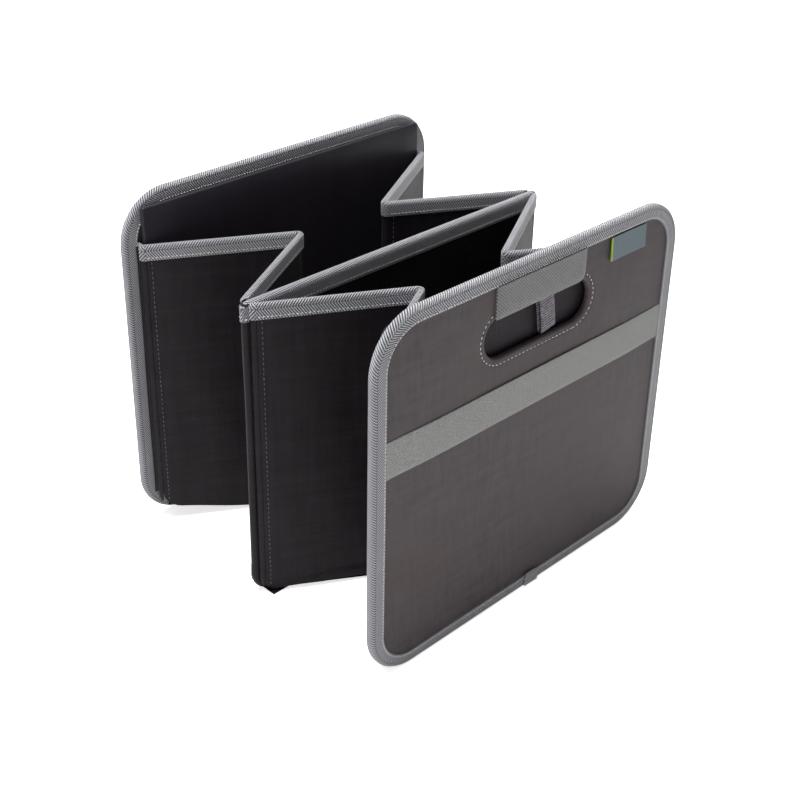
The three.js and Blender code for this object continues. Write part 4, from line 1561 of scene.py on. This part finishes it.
def make_wall_cover(name, place, seed):
    """The cloth pocket of one wall, lightly puckered along its sewn ends."""
    look = settings()
    height = WALL_TOP - 1.2 * MM - WALL_FOOT
    length = WALL_RUN - 2 * WALL_ENDS_GAP
    half = WALL_COVERED / 2
    bm = new_cloth_mesh()
    middle = (WALL_RUN / 2, WALL_FOOT + height / 2)
    outer = "_outer_" in name
    first_radius = END_FOOT_RADIUS if outer else FOOT_RADIUS
    add_rounded_outline(bm, length, height, [first_radius, FOOT_RADIUS, 0, 0], middle, 6)
    grid_cut(bm, 4 * MM, 8 * MM)
    cut_rows(bm, [WALL_FOOT + step * 2 * MM for step in range(1, 12)])
    label(bm, flat_measure)
    for vert in bm.verts:
        if outer:
            vert.co.y += foot_rise(vert.co.x, vert.co.y)
        vert.co.z = -half
    add_second_face(bm, 2 * half)
    rims = [edge for edge in bm.edges if edge.calc_face_angle(0) > 1.0
            and abs(edge.verts[0].co.z - edge.verts[1].co.z) < 1e-6]
    bmesh.ops.bevel(bm, geom=rims, offset=0.9 * MM, offset_type="OFFSET", affect="EDGES", segments=2,
                    profile=0.5, material=-1)
    for vert in bm.verts:
        x, y = vert.co.x, vert.co.y
        inset = min(x, WALL_RUN - x, y - WALL_FOOT)
        if abs(vert.co.z) > half - 0.1 * MM and inset > 1.2 * MM:
            side = math.copysign(1, vert.co.z)
            calm = ease(min(inset, WALL_TOP - WALL_TAPE_REACH + 6 * MM - y), 8 * MM, 36 * MM)
            wave = noise.noise(Vector((x * 13 + y * 7, y * 5 - x * 4, seed + side)))
            crease = noise.noise(Vector((x * 34 + y * 20, y * 9 - x * 7, seed - side)))
            wave = min(max(wave + 0.45 * crease, -0.4), 0.6) * look.wall_crown * calm
            seam = -0.4 * MM * math.exp(-((min(x, WALL_RUN - x) - SEAM_INSET) / (1.1 * MM)) ** 2)
            slack = 0.0
            if side > 0 and not outer:
                level = WALL_FOOT + 2 * MM + 9 * MM * ease(x, 4 * MM, 70 * MM)
                slack = -0.8 * MM * math.exp(-((y - level) / (1.5 * MM)) ** 2)
                slack += 1.0 * MM * ease(level - y, 0.5 * MM, 4 * MM)
            vert.co.z += side * (wave + seam + slack)
    turned = place @ UPRIGHT
    piece = finish_piece(f"{name}_pocket", bm, turned, "wall", name, [f"{name}_cover"])
    smooth_by_angle(piece, 50)


def wall_tape_profile():
    """The profile of the tape on a wall's top."""
    return folded_profile(WALL_TAPED / 2, WALL_TAPE_REACH, 0.6 * MM, 1.9 * MM, 0.15 * MM)


def make_wall_tape(name, place, reach):
    """Tape folded over the top of one wall."""
    profile, across = wall_tape_profile()
    points = [Vector((WALL_ENDS_GAP, p.x, WALL_TOP + p.y)) for p in profile]
    sweep = Sweep(points, across, reach)
    sweep.straight(Vector((WALL_RUN - 2 * WALL_ENDS_GAP, 0, 0)), 30)
    bm = sweep.close()
    piece = finish_piece(f"{name}_binding", bm, place, "tape", name, [f"{name}_tape"])
    smooth_by_angle(piece, 50)


def sew_wall(name, place):
    """The pale row near the foot of a wall's tape, and the dark rows down its sewn ends."""
    turn = place.to_3x3()
    rows, dark_rows = [], []
    for side in (-1, 1):
        facing = turn @ Vector((0, side, 0))
        level = WALL_TOP - WALL_TAPE_REACH + 2.2 * MM
        y = side * (WALL_TAPED / 2 + 0.02 * MM)
        run = [place @ Vector((x, y, level)) for x in (1.5 * MM, WALL_RUN - 1.5 * MM)]
        rows.append((run, facing))
        for x in (SEAM_INSET, WALL_RUN - SEAM_INSET):
            y = side * (WALL_COVERED / 2 - 0.32 * MM)
            foot = WALL_FOOT + 5 * MM + (foot_rise(x, WALL_FOOT) + 3 * MM if "_outer_" in name else 0)
            drop = [place @ Vector((x, y, z)) for z in (WALL_TOP - WALL_TAPE_REACH - 1 * MM, foot)]
            dark_rows.append((drop, facing))
    stitch_rows(f"{name}_tape_stitches", rows, name, "thread", 1.9 * MM, 0.8 * MM, 1.0 * MM)
    stitch_rows(f"{name}_seam_stitches", dark_rows, name, "dark_thread",
                2.8 * MM, 0.8 * MM, 1.2 * MM)


class STORAGEBOX_OT_walls(bpy.types.Operator):
    """The side walls' pockets and the tape along their tops"""

    bl_idname = "storagebox.walls"
    bl_label = "Walls"

    def execute(self, context):
        seed = 0.0
        for end, _ in ENDS:
            for side, _ in SIDES:
                for which in ("inner", "outer"):
                    name = f"{end}_{side}_{which}_wall"
                    place = wall_place(end, side, which)
                    seed += 2.3
                    make_wall_cover(name, place, seed)
                    if which == "outer":
                        make_wall_board(name, place)
                    make_wall_tape(name, place, seed * 10 * MM)
                    sew_wall(name, place)
        return {"FINISHED"}


# Folds between the walls

FOLD_REACH = 4 * MM
FOLD_STEPS = 10


def make_fold(name, pin, place, at_corner, angle, bodies):
    """Cloth and tape that wrap round one fold line, between a wall and what it is sewn to."""
    x = WALL_ENDS_GAP if at_corner else WALL_RUN - WALL_ENDS_GAP
    tape, tape_across = wall_tape_profile()
    cloth_half = WALL_COVERED / 2
    top = WALL_TOP - WALL_TAPE_REACH + 3 * MM
    at_panel = "_outer_" in bodies[0] and at_corner
    foot = WALL_FOOT + (14 * MM if at_panel else 2 * MM)
    outside = -1 if at_corner else 1
    cloth = [(1, top), (1, 160 * MM), (1, 90 * MM), (1, foot + 12 * MM), (0.9, foot + 8 * MM),
             (0.55, foot + 4 * MM), (0.0, foot + 1 * MM), (-0.9, foot), (-1, top)]
    shapes = {
        "tape": ([Vector((x, p.x, WALL_TOP + p.y - 0.03 * MM)) for p in tape], tape_across, "binding_tape"),
        "wall": ([Vector((x, outside * share * cloth_half, z)) for share, z in cloth],
                 [-z for _, z in cloth], "wall_cloth"),
    }
    first, second = bodies
    for finish, (profile, across, slot) in shapes.items():
        sweep = Sweep([place @ p for p in profile], across)
        sweep.turn(pin, Vector((0, 0, 1)), angle, FOLD_REACH, FOLD_STEPS)
        bm = sweep.close()
        label_kind = "binding" if finish == "tape" else "cloth"
        piece = finish_piece(f"{name}_{label_kind}", bm, Matrix.Identity(4), finish, None)
        smooth_by_angle(piece, 60)
        if second is None:
            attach(piece, first)
            continue
        side = 1 if at_corner else -1
        ray = (place.to_3x3() @ Vector((0, -side, 0))).normalized()
        turned = Matrix.Rotation(angle, 3, "Z") @ ray
        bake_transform(piece, first, second, start=pin + ray * FOLD_REACH, end=pin + turned * FOLD_REACH)


class STORAGEBOX_OT_folds(bpy.types.Operator):
    """Cloth and tape round every fold line"""

    bl_idname = "storagebox.folds"
    bl_label = "Folds"

    def execute(self, context):
        for end, facing in ENDS:
            for side, hand in SIDES:
                self.make_folds(end, facing, side, hand)
        return {"FINISHED"}

    @staticmethod
    def make_folds(end, facing, side, hand):
        inner, outer = f"{end}_{side}_inner_wall", f"{end}_{side}_outer_wall"
        lean = math.asin(2 * PIN_OFFSET / WALL_LINK)
        link = math.acos((MIDDLE_Y - NEAR_Y) / WALL_LINK)
        slope = math.pi / 2 - link - lean
        way = hand * facing
        near_pin = Vector((hand * CORNER_X, facing * NEAR_Y, 0))
        far_pin = Vector((hand * CORNER_X, facing * FAR_Y, 0))
        middle_pin = Vector((hand * MIDDLE_X, facing * MIDDLE_Y, 0))
        inner_place, outer_place = wall_place(end, side, "inner"), wall_place(end, side, "outer")
        corner_angle = math.pi / 2 - slope
        make_fold(f"{end}_{side}_divider_fold", near_pin, inner_place, True, -way * corner_angle,
                  (inner, "divider"))
        make_fold(f"{end}_{side}_end_fold", far_pin, outer_place, True, way * corner_angle,
                  (outer, f"{end}_panel"))
        middle_angle = math.pi - 2 * slope
        if side == "left":
            make_fold(f"{end}_{side}_middle_fold", middle_pin, inner_place, False, -way * middle_angle,
                      (inner, outer))
        else:
            make_fold(f"{end}_{side}_middle_fold_a", middle_pin, inner_place, False, -way * middle_angle / 2,
                      (inner, None))
            make_fold(f"{end}_{side}_middle_fold_b", middle_pin, outer_place, False, way * middle_angle / 2,
                      (outer, None))


# Corner seams

ROLL_FOOT = 25 * MM


class STORAGEBOX_OT_corner_seams(bpy.types.Operator):
    """Rolled seams that carry the outer walls on the end panels"""

    bl_idname = "storagebox.corner_seams"
    bl_label = "Corner Seams"

    def execute(self, context):
        for end, facing in ENDS:
            for side, hand in SIDES:
                self.make_seam(end, facing, side, hand)
        return {"FINISHED"}

    @staticmethod
    def make_seam(end, facing, side, hand):
        low_x, high_x = SEAM_LOW.x, SEAM_HIGH.x
        low_y, high_y = SEAM_LOW.y, SEAM_HIGH.y
        middle = Vector(((low_x + high_x) / 2, (low_y + high_y) / 2, 0))
        half = Vector(((high_x - low_x) / 2, (high_y - low_y) / 2, 0))
        count = 14
        ring, distance = [], []
        for i in range(count):
            angle = 2 * math.pi * i / count
            x = math.copysign(abs(math.cos(angle)) ** 0.6, math.cos(angle)) * half.x
            y = math.copysign(abs(math.sin(angle)) ** 0.6, math.sin(angle)) * half.y
            ring.append(Vector((hand * (middle.x + x), facing * (middle.y + y), ROLL_FOOT)))
            distance.append(i * 1.1 * MM)
        foot, top = 6 * MM, 2 * MM
        sweep = Sweep(ring, distance)
        sweep.straight(Vector((0, 0, foot)), 4)
        sweep.straight(Vector((0, 0, SEAM_HIGH.z - ROLL_FOOT - foot - top)), 30)
        bm = sweep.close()
        for vert in bm.verts:
            vert.co.x += noise.noise(Vector((0, hand, vert.co.z * 14))) * 0.4 * MM
            below = ROLL_FOOT + foot - vert.co.z
            if below > 0:
                size = math.sqrt(max(0.0, 1 - (below / foot) ** 2)) * 0.8 + 0.2
                inner_x = hand * low_x
                vert.co.x = inner_x + (vert.co.x - inner_x) * size
                vert.co.y = facing * high_y + (vert.co.y - facing * high_y) * size
        swap_labels(bm)
        name = f"{end}_{side}_corner_roll"
        piece = finish_piece(name, bm, Matrix.Identity(4), "wall", f"{end}_panel",
                             [f"{end}_{side}_corner_seam"])
        smooth_by_angle(piece, 60)
        profile, across = folded_profile(WALL_TAPED / 2 - 1 * MM, WALL_TAPE_REACH,
                                         0.6 * MM, 1.2 * MM, 0.1 * MM)
        start = Vector((hand * (CORNER_X + PIN_OFFSET - 1 * MM), facing * FAR_Y, WALL_TOP - 0.05 * MM))
        sweep = Sweep([start + Vector((p.x, 0, p.y)) for p in profile], across)
        sweep.straight(Vector((0, facing * (PANEL_INNER_Y - FAR_Y - 0.1 * MM), 0)), 3)
        cap = finish_piece(f"{end}_{side}_corner_binding", sweep.close(), Matrix.Identity(4), "tape",
                           f"{end}_panel")
        smooth_by_angle(cap, 50)
        x = hand * (high_x + 0.02 * MM)
        y = facing * middle.y
        points = [Vector((x, y, z * 8 * MM)) for z in range(4, 29)]
        stitch_rows(f"{end}_{side}_corner_stitches", [(points, Vector((hand, 0, 0)))], f"{end}_panel",
                    "dark_thread", 2.6 * MM, 0.7 * MM, 1.4 * MM)


# Bottom cloths

FAN_RINGS = {
    "corner": (2 * MM, 46 * MM, 26 * MM),
    "inner": (34 * MM, 116 * MM, 75 * MM),
    "outer": (106 * MM, 190 * MM, 165 * MM),
}
PANEL_CORNER_LOW = 8 * MM
OUTER_SPREAD = 0.92
PANEL_STRIP_WIDTH = 224 * MM


def heap(x, y):
    """How high the bunched bottom cloth lies at a place in a compartment."""
    share = min(max((y - NEAR_Y) / (FAR_Y - NEAR_Y), 0), 1)
    wall_x = CORNER_X - (CORNER_X - MIDDLE_X) * (1 - abs(2 * share - 1))
    slope = ease(wall_x - 8 * MM - abs(x), 0, 26 * MM)
    ridges = 0.62 + 0.38 * math.cos(6 * math.pi * share + x / (22 * MM))
    return 22 * MM * slope * math.sin(math.pi * share) * ridges


def corner_rise(reach):
    """How high a bottom cloth is sewn to the outer wall's foot, at a distance from the end panel's corner."""
    return END_FOOT_RISE * (1 - ease(reach, 0, 75 * MM))


def make_fan(end, side, where, lift, ring):
    """A ring of a compartment's bottom cloth, which opens and shuts about a corner fold."""
    facing, hand = dict(ENDS)[end], dict(SIDES)[side]
    near = where == "divider"
    base_y = NEAR_Y if near else FAR_Y
    towards = 1 if near else -1
    spread = math.acos(MIDDLE_Y / WALL_LINK - NEAR_Y / WALL_LINK)
    wall_angle = math.pi / 2 - spread
    low, high, turning = FAN_RINGS[ring]
    if ring == "corner" and not near:
        low = PANEL_CORNER_LOW
    bm = new_cloth_mesh()
    bmesh.ops.create_grid(bm, x_segments=18, y_segments=10, size=0.5)
    for vert in bm.verts:
        ray = (vert.co.y + 0.5) * wall_angle * (OUTER_SPREAD if ring == "outer" else 1.0)
        limit = min(high, (CORNER_X + MIDDLE_X + 20 * MM) / math.cos(ray))
        if ray > 1e-6:
            limit = min(limit, (FAR_Y - NEAR_Y - 6 * MM) / math.sin(ray))
        if ring == "inner":
            apex = ease(ray / wall_angle, 0.55, 1.0)
            limit = limit * (1 - apex) + min(limit, WALL_LINK) * apex
        limit = max(limit, low + 2 * MM)
        reach = low + (vert.co.x + 0.5) * (limit - low)
        x = CORNER_X - reach * math.cos(ray)
        y = base_y + towards * reach * math.sin(ray)
        z = 1.4 * MM + lift + heap(x, y) + (0 if near else corner_rise(reach))
        vert.co = Vector((hand * x, facing * y, z))
    label(bm, flat_measure)
    bmesh.ops.recalc_face_normals(bm, faces=bm.faces[:])
    bmesh.ops.remove_doubles(bm, verts=bm.verts[:], dist=1e-6)
    area = sum(face.calc_area() for face in bm.faces)
    thicken(bm, 0.4 * MM)
    nodes = [f"{end}_bottom_cloth"] if near and side == "left" and ring == "inner" else []
    name = f"{end}_{side}_{where}_{ring}_bottom"
    piece = finish_piece(name, bm, Matrix.Identity(4), "wall", None, nodes)
    smooth_by_angle(piece, 70)
    wall = f"{end}_{side}_{'inner' if near else 'outer'}_wall"
    still = "divider" if near else f"{end}_panel"
    pin = Vector((hand * CORNER_X, facing * base_y, 0))
    start = pin + Vector((-hand * turning, 0, 0))
    opened = Vector((-hand * math.cos(wall_angle), facing * towards * math.sin(wall_angle), 0))
    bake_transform(piece, still, wall, start=start, end=pin + opened * turning)


def make_foot_strip(name, body, low, high):
    """The strip of bottom cloth along the foot of the divider or of an end panel."""
    bm = new_cloth_mesh()
    width = 2 * (CORNER_X - 1 * MM) if body == "divider" else PANEL_STRIP_WIDTH
    add_rounded_outline(bm, width, high - low, [0] * 4, (0.0, (low + high) / 2))
    grid_cut(bm, 4 * MM, 4 * MM)
    face_along(bm)
    label(bm, flat_measure)
    for vert in bm.verts:
        vert.co.z = 0.9 * MM
    thicken(bm, 0.4 * MM)
    piece = finish_piece(name, bm, Matrix.Identity(4), "wall", body)
    smooth_by_angle(piece, 60)
    high - low


class STORAGEBOX_OT_bottom_cloths(bpy.types.Operator):
    """The loose cloth bottoms, bunched up while the box is half folded"""

    bl_idname = "storagebox.bottom_cloths"
    bl_label = "Bottom Cloths"

    def execute(self, context):
        make_foot_strip("divider_foot_strip", "divider", -13 * MM, 13 * MM)
        for end, facing in ENDS:
            near, far = facing * (PANEL_INNER_Y - 11 * MM), facing * (PANEL_INNER_Y + 1 * MM)
            low, high = min(near, far), max(near, far)
            make_foot_strip(f"{end}_foot_strip", f"{end}_panel", low, high)
            for side, _ in SIDES:
                for where, lift in (("divider", 0.0), ("panel", 1.2 * MM)):
                    extra = 0.6 * MM if side == "right" else 0.0
                    make_fan(end, side, where, lift + extra - 0.2 * MM, "corner")
                    make_fan(end, side, where, lift + extra, "inner")
                    make_fan(end, side, where, lift + extra + 0.3 * MM, "outer")
        return {"FINISHED"}


class STORAGEBOX_PT_panel(bpy.types.Panel):
    """Sizes, colours and pieces of the storage box"""

    bl_idname = "STORAGEBOX_PT_panel"
    bl_label = "Storage Box"
    bl_space_type = "VIEW_3D"
    bl_region_type = "UI"
    bl_category = "Storage Box"

    def draw(self, context):
        column = self.layout.column()
        for name in StorageBoxSettings.__annotations__:
            column.prop(context.scene.storage_box, name)
        for operator in OPERATORS:
            column.operator(operator.bl_idname)


OPERATORS = (
    STORAGEBOX_OT_stage,
    STORAGEBOX_OT_boards,
    STORAGEBOX_OT_end_panels,
    STORAGEBOX_OT_edge_tapes,
    STORAGEBOX_OT_handles,
    STORAGEBOX_OT_band_and_tag,
    STORAGEBOX_OT_floor_plates,
    STORAGEBOX_OT_divider,
    STORAGEBOX_OT_walls,
    STORAGEBOX_OT_folds,
    STORAGEBOX_OT_corner_seams,
    STORAGEBOX_OT_bottom_cloths,
)
CLASSES = (StorageBoxSettings, *OPERATORS, STORAGEBOX_PT_panel)


def register():
    """Adds the classes and the scene's settings to Blender."""
    for made in CLASSES:
        bpy.utils.register_class(made)
    bpy.types.Scene.storage_box = PointerProperty(type=StorageBoxSettings)


def unregister():
    """Takes them away again."""
    del bpy.types.Scene.storage_box
    for made in reversed(CLASSES):
        bpy.utils.unregister_class(made)


def main():
    """Makes every piece in order."""
    register()
    for operator in OPERATORS:
        group, name = operator.bl_idname.split(".")
        getattr(getattr(bpy.ops, group), name)()


if __name__ == "__main__":
    main()
